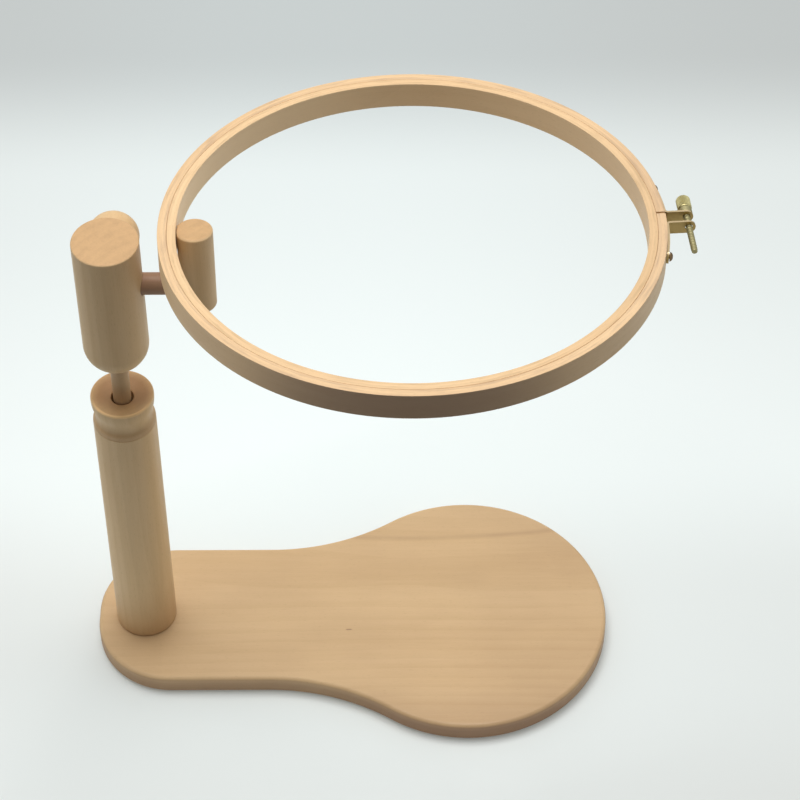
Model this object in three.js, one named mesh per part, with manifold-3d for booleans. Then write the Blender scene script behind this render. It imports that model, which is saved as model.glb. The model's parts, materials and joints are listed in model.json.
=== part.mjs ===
// Embroidery hoop stand to sit on or set on a table: paddle base, turned post, clamp head and hoop.
// Millimetres, +Z up. The origin is the middle of the base board's length, on its underside.
import * as THREE from 'three';
import { mergeVertices } from 'three/addons/utils/BufferGeometryUtils.js';
import Module from 'manifold-3d';

const wasm = await Module();
wasm.setup();

// Clearances
const FIXED_GAP = 0.3; // round pieces that are glued, screwed or pressed together
const RUNNING_GAP = 0.3; // a piece that turns or slides in its bore
const CUT_OVERRUN = 4; // how far a cutter stands out of the face that it opens

// Base board
const BASE_LENGTH = 304;
const BASE_THICKNESS = 13;
const BASE_EDGE = 2.5;
const DISC_RADIUS = 83.5;
const END_HALF_WIDTH = 49;
const END_CORNER_RADIUS = 45;
const NECK_RADIUS = 134;

// Post
const POST_INSET = 28.5; // from the narrow end of the base to the post's axis
const POST_HEIGHT = 200.5;
const POST_FOOT_RADIUS = 17.8;
const POST_NECK_RADIUS = 17.2;
const POST_FOOT_EDGE = 1.5;
const COLLAR_RADIUS = 17.55;
const COLLAR_HEIGHT = 14; // from the cove to the post's top
const LIP_HEIGHT = 2.5; // straight rim round the collar's top
const LIP_EDGE = 0.5;
const DISH_DEPTH = 2.3; // how far the top is hollowed inside the rim
const COVE_DEPTH = 1.75;
const COVE_WIDTH = 1.2;
const SHOULDER_HEIGHT = 6.7; // from the fine groove up to the cove
const GROOVE_DEPTH = 0.5;
const MOUTH_RADIUS = 6.4; // wide mouth of the bore in the post's top
const MOUTH_DEPTH = 8;
const POST_BORE_DEPTH = 104;

// Screw that holds the post to the base
const POST_SCREW_RADIUS = 2.5;
const POST_SCREW_HEAD_RADIUS = 5;
const POST_SCREW_GRIP = 30; // length inside the post

// Stem
const STEM_RADIUS = 5;
const STEM_EDGE = 0.8;
const STEM_IN_POST = 70;
const STEM_IN_BARREL = 45;

// Clamp barrel
const BARREL_RADIUS = 17.3;
const BARREL_LENGTH = 91;
const BARREL_DOME = 15.5;
const BARREL_TOP_EDGE = 0.8;
const BARREL_LIFT = 27.3; // bare stem between the post and the barrel
const ROD_DROP = 30.3; // from the barrel's top to the arm rod's axis

// Clamp knob, its stud and the thread that holds the stud
const KNOB_RADIUS = 13.9;
const KNOB_HALF_LENGTH = 12.9;
const KNOB_NECK_RADIUS = 8.2;
const KNOB_NECK_LENGTH = 5.8;
const KNOB_STANDOFF = 2.5; // between the barrel and the knob's neck when clamped
const STUD_RADIUS = 4;
const STUD_IN_KNOB = 18;
const INSERT_RADIUS = 6;
const INSERT_LENGTH = 8.5;
const INSERT_RECESS = 1.3; // below the back of the barrel

// Arm rod and hoop block
const ROD_RADIUS = 6;
const ROD_EDGE = 0.8;
const ROD_PAST_AXIS = 10; // from the barrel's axis to the rod's hidden end
const BLOCK_RADIUS = 10;
const BLOCK_EDGE = 1.2;
const BLOCK_SEAT = 0.5; // depth of the hollow in the block where the inner ring sits
const BLOCK_BELOW_ROD = 13.5;
const BLOCK_BELOW_RING = 3; // from the top of the rings down to the block's top

// Hoop
const HOOP_TILT = THREE.MathUtils.degToRad(-6.57);
const ROD_TO_RING = 24.3; // from the rod's axis up to the underside of the rings
const BARREL_TO_RING = 10.2; // free gap between the barrel and the outer ring
const INNER_RING_RADIUS = 127; // outer wall of the inner ring: a ten-inch hoop
const INNER_RING_WALL = 4.6;
const OUTER_RING_WALL = 4.7;
const RING_GAP = 0.3;
const RING_HEIGHT = 15;
const RING_EDGE = 0.7;
const SLIT_WIDTH = 1.4;
const SLIT_ANGLE = THREE.MathUtils.degToRad(4.08);

// Screw through the inner ring into the block
const RING_SCREW_RADIUS = 1.5;
const RING_SCREW_HEAD_RADIUS = 3;
const RING_SCREW_LENGTH = 14;

// Brass straps and rivets
const STRAP_THICKNESS = 1.2;
const STRAP_HEIGHT = 7.4;
const STRAP_RAISE = 0.6; // above the middle of the ring's height
const STRAP_LENGTH = 27; // along the ring, from the lug
const STRAP_BEND = 1.2;
const LUG_SPACING = 8.6;
const LUG_REACH = 15.6; // from the ring's outer wall to the lug's round end
const RIVET_RADIUS = 1.2;
const RIVET_HEAD_RADIUS = 2.5;
const RIVET_HEAD_HEIGHT = 1.7;
const RIVET_GRIP = 3.4; // length inside the outer ring
const RIVET_FROM_END = 3.4;

// Tension screw and its knurled head
const SCREW_RADIUS = 1.9;
const SCREW_POINT = 0.5;
const SCREW_OUT = 12; // from the ring's outer wall to the screw's axis
const SCREW_PAST_LUG = 20.2;
const SCREW_SHOULDER_RADIUS = 3.5;
const SCREW_SHOULDER_LENGTH = 4.1;
const SPIGOT_RADIUS = 1.5; // end of the screw inside its head
const SPIGOT_LENGTH = 5;
const HEAD_RADIUS = 3.8;
const HEAD_LENGTH = 8.5;
const HEAD_EDGE = 0.6;

// Facets of round wood, round metal and the rings, and steps along their curved sections
const WOOD_FACETS = 40;
const METAL_FACETS = 24;
const RING_FACETS = 72;
const OUTLINE_STEPS = 10;
const BALL_STEPS = 5;
const SECTION_STEPS = 2;
const EDGE_STEPS = 1;
const MERGE_TOLERANCE = 1e-4;

// Places that follow from the sizes above
const QUARTER = Math.PI / 2;
const POST_X = POST_INSET - BASE_LENGTH / 2;
const POST_TOP = BASE_THICKNESS + POST_HEIGHT;
const BARREL_BOTTOM = POST_TOP + BARREL_LIFT;
const ROD_Z = BARREL_BOTTOM + BARREL_LENGTH - ROD_DROP;
const KNOB_START = BARREL_RADIUS + KNOB_STANDOFF;
const INSERT_OUTER = BARREL_RADIUS - INSERT_RECESS;
const INSERT_INNER = INSERT_OUTER - INSERT_LENGTH;
const INNER_WALL = INNER_RING_RADIUS - INNER_RING_WALL;
const OUTER_BORE = INNER_RING_RADIUS + RING_GAP;
const OUTER_WALL = OUTER_BORE + OUTER_RING_WALL;
const HOOP_X = BARREL_RADIUS + BARREL_TO_RING + OUTER_WALL;
const RING_TOP = ROD_TO_RING + RING_HEIGHT;
const RING_MIDDLE = ROD_TO_RING + RING_HEIGHT / 2;
const BLOCK_TOP = RING_TOP - BLOCK_BELOW_RING;
const BLOCK_X = HOOP_X - INNER_WALL + BLOCK_RADIUS - BLOCK_SEAT;
const ROD_END = BLOCK_X + ROD_RADIUS;
const STRAP_INSIDE = OUTER_WALL + FIXED_GAP;
const STRAP_OUTSIDE = STRAP_INSIDE + STRAP_THICKNESS;
const STRAP_Z = RING_MIDDLE + STRAP_RAISE;
const LUG_NEAR_FACE = (LUG_SPACING - STRAP_THICKNESS) / 2;
const LUG_FAR_FACE = LUG_NEAR_FACE + STRAP_THICKNESS;
const LUG_TIP = OUTER_WALL + LUG_REACH;
const STRAP_END_ANGLE = (LUG_SPACING / 2 + STRAP_LENGTH) / OUTER_WALL;
const RIVET_ANGLE = STRAP_END_ANGLE - RIVET_FROM_END / OUTER_WALL;
const SCREW_AT = [OUTER_WALL + SCREW_OUT, 0, STRAP_Z];
const SHOULDER_START = LUG_FAR_FACE + FIXED_GAP;
const HEAD_START = SHOULDER_START + SCREW_SHOULDER_LENGTH + FIXED_GAP;

const BEECH = { color: 0xcfab80, roughness: 0.62, metalness: 0 };
const DARK_DOWEL = { color: 0x9a7358, roughness: 0.6, metalness: 0 };
const RING_BEECH = { color: 0xdcb482, roughness: 0.55, metalness: 0 };
const BRASS = { color: 0xb9a35c, roughness: 0.35, metalness: 1 };
const DARK_BRASS = { color: 0x6d5233, roughness: 0.5, metalness: 1 };
const STEEL = { color: 0x9b9b98, roughness: 0.4, metalness: 1 };

// A closed geometry as a solid that can be joined and cut.
function solid(geometry) {
  geometry.deleteAttribute('normal');
  geometry.deleteAttribute('uv');
  const merged = mergeVertices(geometry, MERGE_TOLERANCE);
  const corners = merged.index.array;
  const triangles = [];
  for (let i = 0; i < corners.length; i += 3) {
    const [a, b, c] = corners.subarray(i, i + 3);
    if (a !== b && b !== c && c !== a) triangles.push(a, b, c);
  }
  const vertProperties = new Float32Array(merged.attributes.position.array);
  const triVerts = new Uint32Array(triangles);
  return new wasm.Manifold(new wasm.Mesh({ numProp: 3, vertProperties, triVerts }));
}

// A named mesh with a material of its own.
function piece(name, shape, finish) {
  const { vertProperties, triVerts } = shape.getMesh();
  const geometry = new THREE.BufferGeometry();
  geometry.setAttribute('position', new THREE.BufferAttribute(new Float32Array(vertProperties), 3));
  geometry.setIndex(new THREE.BufferAttribute(new Uint32Array(triVerts), 1));
  geometry.computeVertexNormals();
  const mesh = new THREE.Mesh(geometry, new THREE.MeshStandardMaterial(finish));
  mesh.name = name;
  return mesh;
}

// Points along a section, without the near-doubles where two of its curves meet.
function sectionPoints(path, steps) {
  const drawn = path.getPoints(steps);
  const points = drawn.filter((point, i) => i === 0 || point.distanceTo(drawn[i - 1]) > MERGE_TOLERANCE);
  const last = points.at(-1);
  if (last.distanceTo(points[0]) < MERGE_TOLERANCE) last.copy(points[0]);
  return points;
}

// A solid turned about the x, y or z axis from a path of (radius, distance along the axis).
function turned(path, axis, { facets = METAL_FACETS, steps = EDGE_STEPS, at = [0, 0, 0], swing = 0 } = {}) {
  const geometry = new THREE.LatheGeometry(sectionPoints(path, steps), facets);
  if (axis === 'z') geometry.rotateX(QUARTER);
  if (axis === 'x') geometry.rotateZ(-QUARTER);
  geometry.rotateZ(swing);
  geometry.translate(...at);
  return solid(geometry);
}

// Section of a plain round bar, which also cuts a bore.
function barPath(radius, low, high) {
  const path = new THREE.Path();
  path.moveTo(0, low);
  path.lineTo(radius, low);
  path.lineTo(radius, high);
  path.lineTo(0, high);
  return path;
}

// Section of a dowel whose two ends are rounded.
function dowelPath(radius, low, high, lowEdge, highEdge) {
  const path = new THREE.Path();
  path.moveTo(0, low);
  path.lineTo(radius - lowEdge, low);
  path.absarc(radius - lowEdge, low + lowEdge, lowEdge, -QUARTER, 0);
  path.absarc(radius - highEdge, high - highEdge, highEdge, 0, QUARTER);
  path.lineTo(0, high);
  return path;
}

// Closed section of a tube with square edges.
function tubePath(bore, radius, low, high) {
  const path = new THREE.Path();
  path.moveTo(bore, low);
  path.lineTo(radius, low);
  path.lineTo(radius, high);
  path.lineTo(bore, high);
  path.lineTo(bore, low);
  return path;
}

// Closed section of a hoop ring, with its four edges rounded.
function ringPath(bore, radius) {
  const inside = bore + RING_EDGE;
  const outside = radius - RING_EDGE;
  const low = ROD_TO_RING + RING_EDGE;
  const high = RING_TOP - RING_EDGE;
  const path = new THREE.Path();
  path.moveTo(inside, ROD_TO_RING);
  path.lineTo(outside, ROD_TO_RING);
  path.absarc(outside, low, RING_EDGE, -QUARTER, 0);
  path.absarc(outside, high, RING_EDGE, 0, QUARTER);
  path.absarc(inside, high, RING_EDGE, QUARTER, Math.PI);
  path.absarc(inside, low, RING_EDGE, Math.PI, 3 * QUARTER);
  return path;
}

// Section of a countersunk screw, or of its hole when it is grown by a gap and runs out of the face.
function countersunkPath(radius, headRadius, start, length, gap, overrun) {
  const path = new THREE.Path();
  path.moveTo(0, start - overrun);
  path.lineTo(headRadius + gap, start - overrun);
  path.lineTo(headRadius + gap, start + gap);
  path.lineTo(radius + gap, start + gap + headRadius - radius);
  path.lineTo(radius + gap, start + length - radius + gap);
  path.lineTo(0, start + length + gap);
  return path;
}

// Outline of the paddle: straight sides, concave necks and the large disc.
function baseOutline() {
  const cornerX = END_CORNER_RADIUS - BASE_LENGTH / 2;
  const cornerY = END_HALF_WIDTH - END_CORNER_RADIUS;
  const discX = BASE_LENGTH / 2 - DISC_RADIUS;
  const neckY = END_HALF_WIDTH + NECK_RADIUS;
  const neckX = discX - Math.sqrt((NECK_RADIUS + DISC_RADIUS) ** 2 - neckY ** 2);
  const lean = Math.atan2(neckY, discX - neckX);
  const outline = new THREE.Shape();
  outline.moveTo(cornerX, -END_HALF_WIDTH);
  outline.absarc(neckX, -neckY, NECK_RADIUS, QUARTER, lean, true);
  outline.absarc(discX, 0, DISC_RADIUS, lean - Math.PI, Math.PI - lean);
  outline.absarc(neckX, neckY, NECK_RADIUS, -lean, -QUARTER, true);
  outline.absarc(cornerX, cornerY, END_CORNER_RADIUS, QUARTER, Math.PI);
  outline.absarc(cornerX, -cornerY, END_CORNER_RADIUS, Math.PI, 3 * QUARTER);
  return outline;
}

function postScrew(gap = 0, overrun = 0) {
  const length = BASE_THICKNESS - FIXED_GAP + POST_SCREW_GRIP;
  const path = countersunkPath(POST_SCREW_RADIUS, POST_SCREW_HEAD_RADIUS, FIXED_GAP, length, gap, overrun);
  return turned(path, 'z', { at: [POST_X, 0, 0] });
}

function baseBoard() {
  const geometry = new THREE.ExtrudeGeometry(baseOutline(), {
    depth: BASE_THICKNESS - 2 * BASE_EDGE,
    bevelThickness: BASE_EDGE,
    bevelSize: BASE_EDGE,
    bevelOffset: -BASE_EDGE,
    bevelSegments: SECTION_STEPS,
    curveSegments: OUTLINE_STEPS,
  });
  geometry.translate(0, 0, BASE_EDGE);
  return solid(geometry).subtract(postScrew(FIXED_GAP, CUT_OVERRUN));
}

// The turned post, from its rounded foot up: slight taper, fine groove, shoulder, cove and hollowed collar.
function post() {
  const cove = POST_TOP - COLLAR_HEIGHT;
  const groove = cove - SHOULDER_HEIGHT;
  const coveRadius = COLLAR_RADIUS - COVE_DEPTH;
  const footEdgeX = POST_FOOT_RADIUS - POST_FOOT_EDGE;
  const lip = POST_TOP - LIP_HEIGHT;
  const rim = COLLAR_RADIUS - LIP_EDGE;
  const dish = POST_TOP - DISH_DEPTH;
  const path = new THREE.Path();
  path.moveTo(0, BASE_THICKNESS);
  path.lineTo(footEdgeX, BASE_THICKNESS);
  path.absarc(footEdgeX, BASE_THICKNESS + POST_FOOT_EDGE, POST_FOOT_EDGE, -QUARTER, 0);
  path.lineTo(POST_NECK_RADIUS, groove - GROOVE_DEPTH);
  path.lineTo(POST_NECK_RADIUS - GROOVE_DEPTH, groove);
  path.quadraticCurveTo(POST_NECK_RADIUS + 2 * GROOVE_DEPTH, cove - COVE_DEPTH, coveRadius, cove - COVE_WIDTH / 2);
  path.lineTo(coveRadius, cove + COVE_WIDTH / 2);
  path.quadraticCurveTo(COLLAR_RADIUS, (cove + lip) / 2, COLLAR_RADIUS, lip);
  path.lineTo(COLLAR_RADIUS, POST_TOP - LIP_EDGE);
  path.lineTo(rim, POST_TOP);
  path.quadraticCurveTo((rim + STEM_RADIUS) / 2, dish, STEM_RADIUS, dish);
  path.lineTo(0, dish);
  const at = [POST_X, 0, 0];
  const blank = turned(path, 'z', { facets: WOOD_FACETS, steps: SECTION_STEPS, at });
  const mouthPath = barPath(MOUTH_RADIUS, dish - MOUTH_DEPTH, POST_TOP + CUT_OVERRUN);
  const borePath = barPath(STEM_RADIUS + RUNNING_GAP, POST_TOP - POST_BORE_DEPTH, POST_TOP);
  const mouth = turned(mouthPath, 'z', { facets: WOOD_FACETS, at });
  const bore = turned(borePath, 'z', { at });
  return blank.subtract(mouth).subtract(bore).subtract(postScrew(FIXED_GAP, CUT_OVERRUN));
}

function stemDowel() {
  const low = POST_TOP - STEM_IN_POST;
  const high = BARREL_BOTTOM + STEM_IN_BARREL;
  return turned(dowelPath(STEM_RADIUS, low, high, STEM_EDGE, STEM_EDGE), 'z', { at: [POST_X, 0, 0] });
}

// The clamp barrel, about the arm rod's axis: domed bottom, stem bore, rod bore and thread bore.
function clampBarrel() {
  const bottom = ROD_DROP - BARREL_LENGTH;
  const blankPath = new THREE.Path();
  blankPath.moveTo(0, bottom);
  blankPath.lineTo(BARREL_RADIUS - BARREL_DOME, bottom);
  blankPath.absarc(BARREL_RADIUS - BARREL_DOME, bottom + BARREL_DOME, BARREL_DOME, -QUARTER, 0);
  blankPath.lineTo(BARREL_RADIUS, ROD_DROP - BARREL_TOP_EDGE);
  blankPath.lineTo(BARREL_RADIUS - BARREL_TOP_EDGE, ROD_DROP);
  blankPath.lineTo(0, ROD_DROP);
  const stemTop = bottom + STEM_IN_BARREL + RUNNING_GAP;
  const stemBore = barPath(STEM_RADIUS + RUNNING_GAP, bottom - CUT_OVERRUN, stemTop);
  const rodEnd = ROD_PAST_AXIS + RUNNING_GAP;
  const rodBore = barPath(ROD_RADIUS + RUNNING_GAP, -rodEnd, BARREL_RADIUS + CUT_OVERRUN);
  const insertStart = INSERT_INNER - FIXED_GAP;
  const insertBore = barPath(INSERT_RADIUS + FIXED_GAP, insertStart, BARREL_RADIUS + CUT_OVERRUN);
  const studBore = barPath(STUD_RADIUS + RUNNING_GAP, 0, INSERT_INNER);
  return turned(blankPath, 'z', { facets: WOOD_FACETS, steps: BALL_STEPS })
    .subtract(turned(stemBore, 'z'))
    .subtract(turned(rodBore, 'x'))
    .subtract(turned(insertBore, 'y'))
    .subtract(turned(studBore, 'y'));
}

function threadedInsert() {
  return turned(tubePath(STUD_RADIUS + RUNNING_GAP, INSERT_RADIUS, INSERT_INNER, INSERT_OUTER), 'y');
}

function clampStud() {
  return turned(barPath(STUD_RADIUS, ROD_RADIUS + RUNNING_GAP, KNOB_START + STUD_IN_KNOB), 'y');
}

// The knob: a turned ball on a short neck, with a blind bore for the stud.
function clampKnob() {
  const neckTurn = Math.acos(KNOB_NECK_RADIUS / KNOB_RADIUS);
  const neckEnd = KNOB_START + KNOB_NECK_LENGTH;
  const middle = neckEnd + KNOB_HALF_LENGTH * Math.sin(neckTurn);
  const path = new THREE.Path();
  path.moveTo(0, KNOB_START);
  path.lineTo(KNOB_NECK_RADIUS, KNOB_START);
  path.lineTo(KNOB_NECK_RADIUS, neckEnd);
  path.absellipse(0, middle, KNOB_RADIUS, KNOB_HALF_LENGTH, -neckTurn, QUARTER);
  const boreEnd = KNOB_START + STUD_IN_KNOB + FIXED_GAP;
  const bore = barPath(STUD_RADIUS + FIXED_GAP, KNOB_START - CUT_OVERRUN, boreEnd);
  return turned(path, 'y', { facets: WOOD_FACETS, steps: BALL_STEPS }).subtract(turned(bore, 'y'));
}

function armRod() {
  return turned(dowelPath(ROD_RADIUS, -ROD_PAST_AXIS, ROD_END, ROD_EDGE, ROD_EDGE), 'x');
}

// The screw between ring and block, half way up the height where they meet.
function ringScrew(gap = 0, overrun = 0) {
  const start = HOOP_X - INNER_RING_RADIUS + FIXED_GAP;
  const path = countersunkPath(
    RING_SCREW_RADIUS, RING_SCREW_HEAD_RADIUS, start, RING_SCREW_LENGTH, gap, overrun,
  );
  return turned(path, 'x', { at: [0, 0, (ROD_TO_RING + BLOCK_TOP) / 2] });
}

// The block, hollowed along its side to fit the curve of the inner ring.
function hoopBlock() {
  const blankPath = dowelPath(BLOCK_RADIUS, -BLOCK_BELOW_ROD, BLOCK_TOP, BLOCK_EDGE, BLOCK_EDGE);
  const blank = turned(blankPath, 'z', { facets: WOOD_FACETS, at: [BLOCK_X, 0, 0] });
  const rodBore = barPath(ROD_RADIUS + FIXED_GAP, 0, ROD_END + FIXED_GAP);
  const seatLow = -BLOCK_BELOW_ROD - CUT_OVERRUN;
  const seatPath = tubePath(
    INNER_WALL - FIXED_GAP, INNER_WALL + BLOCK_RADIUS, seatLow, BLOCK_TOP + CUT_OVERRUN,
  );
  return blank
    .subtract(turned(rodBore, 'x'))
    .subtract(turned(seatPath, 'z', { facets: RING_FACETS, at: [HOOP_X, 0, 0] }))
    .subtract(ringScrew(FIXED_GAP));
}

function innerRing() {
  return turned(ringPath(INNER_WALL, INNER_RING_RADIUS), 'z', { facets: RING_FACETS, at: [HOOP_X, 0, 0] })
    .subtract(ringScrew(FIXED_GAP, CUT_OVERRUN));
}

// A round-headed pin through a strap into the outer ring, or the hole for its shank.
function rivetShank(side, gap) {
  const path = barPath(RIVET_RADIUS + gap, OUTER_WALL - RIVET_GRIP - gap, STRAP_OUTSIDE + CUT_OVERRUN);
  return turned(path, 'x', { at: [0, 0, STRAP_Z], swing: side * RIVET_ANGLE });
}

function rivet(side) {
  const seat = STRAP_OUTSIDE + FIXED_GAP;
  const path = new THREE.Path();
  path.moveTo(0, OUTER_WALL - RIVET_GRIP);
  path.lineTo(RIVET_RADIUS, OUTER_WALL - RIVET_GRIP);
  path.lineTo(RIVET_RADIUS, seat);
  path.absellipse(0, seat, RIVET_HEAD_RADIUS, RIVET_HEAD_HEIGHT, 0, QUARTER);
  return turned(path, 'x', { steps: SECTION_STEPS, at: [0, 0, STRAP_Z], swing: side * RIVET_ANGLE });
}

// The split outer ring, about the hoop's axis, with its slit on the local x axis.
function outerRing() {
  const depth = OUTER_RING_WALL + 2 * CUT_OVERRUN;
  const slit = new THREE.BoxGeometry(depth, SLIT_WIDTH, RING_HEIGHT + 2 * CUT_OVERRUN);
  slit.translate(OUTER_BORE - CUT_OVERRUN + depth / 2, 0, RING_MIDDLE);
  return turned(ringPath(OUTER_BORE, OUTER_WALL), 'z', { facets: RING_FACETS })
    .subtract(solid(slit))
    .subtract(rivetShank(1, FIXED_GAP))
    .subtract(rivetShank(-1, FIXED_GAP));
}

// Plan of a strap: along the ring, then bent out into a lug. Side is 1 beyond the slit and -1 before it.
function strapOutline(side) {
  const insideTurn = Math.asin((LUG_FAR_FACE + STRAP_BEND) / STRAP_INSIDE);
  const outsideTurn = Math.asin((LUG_FAR_FACE + STRAP_BEND) / STRAP_OUTSIDE);
  const outside = new THREE.Vector2(Math.cos(outsideTurn), side * Math.sin(outsideTurn));
  outside.multiplyScalar(STRAP_OUTSIDE);
  const bendEnd = STRAP_OUTSIDE + STRAP_BEND;
  const outline = new THREE.Shape();
  outline.absarc(0, 0, STRAP_INSIDE, side * STRAP_END_ANGLE, side * insideTurn, side > 0);
  outline.quadraticCurveTo(STRAP_INSIDE, side * LUG_NEAR_FACE, bendEnd, side * LUG_NEAR_FACE);
  outline.lineTo(LUG_TIP, side * LUG_NEAR_FACE);
  outline.lineTo(LUG_TIP, side * LUG_FAR_FACE);
  outline.lineTo(bendEnd, side * LUG_FAR_FACE);
  outline.quadraticCurveTo(STRAP_OUTSIDE, side * LUG_FAR_FACE, outside.x, outside.y);
  outline.absarc(0, 0, STRAP_OUTSIDE, side * outsideTurn, side * STRAP_END_ANGLE, side < 0);
  return outline;
}

// Side view of both lugs, with a half-round end, as a solid that trims the straps.
function lugTrim() {
  const half = STRAP_HEIGHT / 2;
  const endX = LUG_TIP - half;
  const outline = new THREE.Shape();
  outline.moveTo(0, -STRAP_HEIGHT);
  outline.lineTo(endX, -STRAP_HEIGHT);
  outline.absarc(endX, 0, half, -QUARTER, QUARTER);
  outline.lineTo(endX, STRAP_HEIGHT);
  outline.lineTo(0, STRAP_HEIGHT);
  const width = 2 * OUTER_WALL;
  const geometry = new THREE.ExtrudeGeometry(outline, {
    depth: width,
    bevelEnabled: false,
    curveSegments: OUTLINE_STEPS,
  });
  geometry.rotateX(QUARTER);
  geometry.translate(0, width / 2, STRAP_Z);
  return solid(geometry);
}

function strap(side) {
  const geometry = new THREE.ExtrudeGeometry(strapOutline(side), {
    depth: STRAP_HEIGHT,
    bevelEnabled: false,
    curveSegments: BALL_STEPS,
  });
  geometry.translate(0, 0, STRAP_Z - STRAP_HEIGHT / 2);
  const hole = barPath(SCREW_RADIUS + RUNNING_GAP, -LUG_SPACING, LUG_SPACING);
  return solid(geometry)
    .intersect(lugTrim())
    .subtract(turned(hole, 'y', { at: SCREW_AT }))
    .subtract(rivetShank(side, FIXED_GAP));
}

// The tension screw, from its tip before the lugs to the spigot that carries its head.
function tensionScrew() {
  const tip = -LUG_FAR_FACE - SCREW_PAST_LUG;
  const shoulderEnd = SHOULDER_START + SCREW_SHOULDER_LENGTH;
  const path = new THREE.Path();
  path.moveTo(0, tip);
  path.lineTo(SCREW_RADIUS - SCREW_POINT, tip);
  path.lineTo(SCREW_RADIUS, tip + SCREW_POINT);
  path.lineTo(SCREW_RADIUS, SHOULDER_START);
  path.lineTo(SCREW_SHOULDER_RADIUS, SHOULDER_START);
  path.lineTo(SCREW_SHOULDER_RADIUS, shoulderEnd);
  path.lineTo(SPIGOT_RADIUS, shoulderEnd);
  path.lineTo(SPIGOT_RADIUS, HEAD_START + SPIGOT_LENGTH);
  path.lineTo(0, HEAD_START + SPIGOT_LENGTH);
  return turned(path, 'y', { at: SCREW_AT });
}

function screwHead() {
  const blank = dowelPath(HEAD_RADIUS, HEAD_START, HEAD_START + HEAD_LENGTH, HEAD_EDGE, HEAD_EDGE);
  const boreEnd = HEAD_START + SPIGOT_LENGTH + FIXED_GAP;
  const bore = barPath(SPIGOT_RADIUS + FIXED_GAP, HEAD_START - CUT_OVERRUN, boreEnd);
  return turned(blank, 'y', { at: SCREW_AT }).subtract(turned(bore, 'y', { at: SCREW_AT }));
}

// The outer ring and its hardware turn about the hoop's axis as one group.
const outerHoop = new THREE.Group();
outerHoop.position.x = HOOP_X;
outerHoop.rotation.z = SLIT_ANGLE;
outerHoop.add(
  piece('outer_ring', outerRing(), RING_BEECH),
  piece('far_strap', strap(1), BRASS),
  piece('near_strap', strap(-1), BRASS),
  piece('far_rivet', rivet(1), DARK_BRASS),
  piece('near_rivet', rivet(-1), DARK_BRASS),
  piece('tension_screw', tensionScrew(), BRASS),
  piece('screw_head', screwHead(), BRASS),
);

// The arm turns about the rod's axis.
const arm = new THREE.Group();
arm.rotation.x = HOOP_TILT;
arm.add(
  piece('arm_rod', armRod(), DARK_DOWEL),
  piece('hoop_block', hoopBlock(), BEECH),
  piece('inner_ring', innerRing(), RING_BEECH),
  piece('ring_screw', ringScrew(), STEEL),
  outerHoop,
);

// The clamp head stands on the stem, with the rod's axis at its origin.
const head = new THREE.Group();
head.position.set(POST_X, 0, ROD_Z);
head.add(
  piece('clamp_barrel', clampBarrel(), BEECH),
  piece('threaded_insert', threadedInsert(), BRASS),
  piece('clamp_stud', clampStud(), STEEL),
  piece('clamp_knob', clampKnob(), BEECH),
  arm,
);

const stand = new THREE.Group();
stand.add(
  piece('base_board', baseBoard(), BEECH),
  piece('post', post(), BEECH),
  piece('post_screw', postScrew(), STEEL),
  piece('stem_dowel', stemDowel(), BEECH),
  head,
);

export default stand;
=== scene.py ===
"""Looks of an embroidery hoop stand: turned beech, a laminated hoop and brass hoop hardware.

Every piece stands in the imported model's frame, in metres, and rides on one of its bodies.
"""

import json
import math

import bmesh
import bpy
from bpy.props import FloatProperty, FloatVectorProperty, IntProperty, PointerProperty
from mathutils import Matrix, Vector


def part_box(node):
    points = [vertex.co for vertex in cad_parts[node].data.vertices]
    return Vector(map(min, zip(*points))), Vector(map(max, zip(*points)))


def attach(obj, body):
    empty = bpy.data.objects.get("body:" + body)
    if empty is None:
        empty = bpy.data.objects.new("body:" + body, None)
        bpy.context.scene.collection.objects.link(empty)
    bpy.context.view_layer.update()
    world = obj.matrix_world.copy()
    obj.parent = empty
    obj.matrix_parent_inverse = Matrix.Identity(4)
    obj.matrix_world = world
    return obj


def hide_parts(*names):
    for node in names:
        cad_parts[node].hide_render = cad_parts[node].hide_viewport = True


bl_info = {
    "name": "Embroidery Hoop Stand",
    "version": (1, 0, 0),
    "blender": (4, 5, 0),
    "location": "3D View > Sidebar > Hoop Stand",
    "description": "Builds the visible pieces of an embroidery hoop stand around its packed model",
    "category": "Add Mesh",
}

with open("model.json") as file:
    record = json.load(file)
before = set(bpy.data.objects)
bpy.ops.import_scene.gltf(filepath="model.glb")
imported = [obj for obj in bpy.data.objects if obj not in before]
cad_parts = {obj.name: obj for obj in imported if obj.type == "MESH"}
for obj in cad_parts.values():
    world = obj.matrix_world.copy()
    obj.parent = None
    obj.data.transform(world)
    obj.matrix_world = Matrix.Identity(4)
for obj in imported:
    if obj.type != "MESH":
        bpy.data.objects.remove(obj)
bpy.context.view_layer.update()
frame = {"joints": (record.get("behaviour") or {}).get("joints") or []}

FULL_TURN = 2 * math.pi
QUARTER = math.pi / 2
TINY = 1e-7
TO_X = Matrix.Rotation(QUARTER, 4, "Y")
TO_Y = Matrix.Rotation(-QUARTER, 4, "X")
SHARP_ANGLE = math.radians(38)

# Facets round a piece.
TURNED_FACETS = 96
BARREL_FACETS = 128
RING_FACETS = 240
METAL_FACETS = 48
RIVET_FACETS = 32
THREAD_FACETS = 24

# Steps along the curves of the board's outline.
NECK_STEPS, DISC_STEPS, CORNER_STEPS = 28, 96, 32

# Grain: where the pith lies from a piece's middle, and how wide a year's growth is.
PITH_ACROSS, PITH_BELOW, YEAR_WIDTH = 0.035, 0.06, 0.0052

# How fine each mark of the wood is, per metre along, across and through its grain.
BROAD_BANDS = (4, 26, 26)
STREAKS = (9, 240, 240)
FIBRES = (70, 2100, 2100)
FLECKS = (330, 2000, 2000)
WANDERING = (3, 8, 8)
END_PORES = (40, 900, 900)
END_PATCHES = (60, 150, 150)
PLY_MOTTLE = (42, 520, 1)

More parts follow.
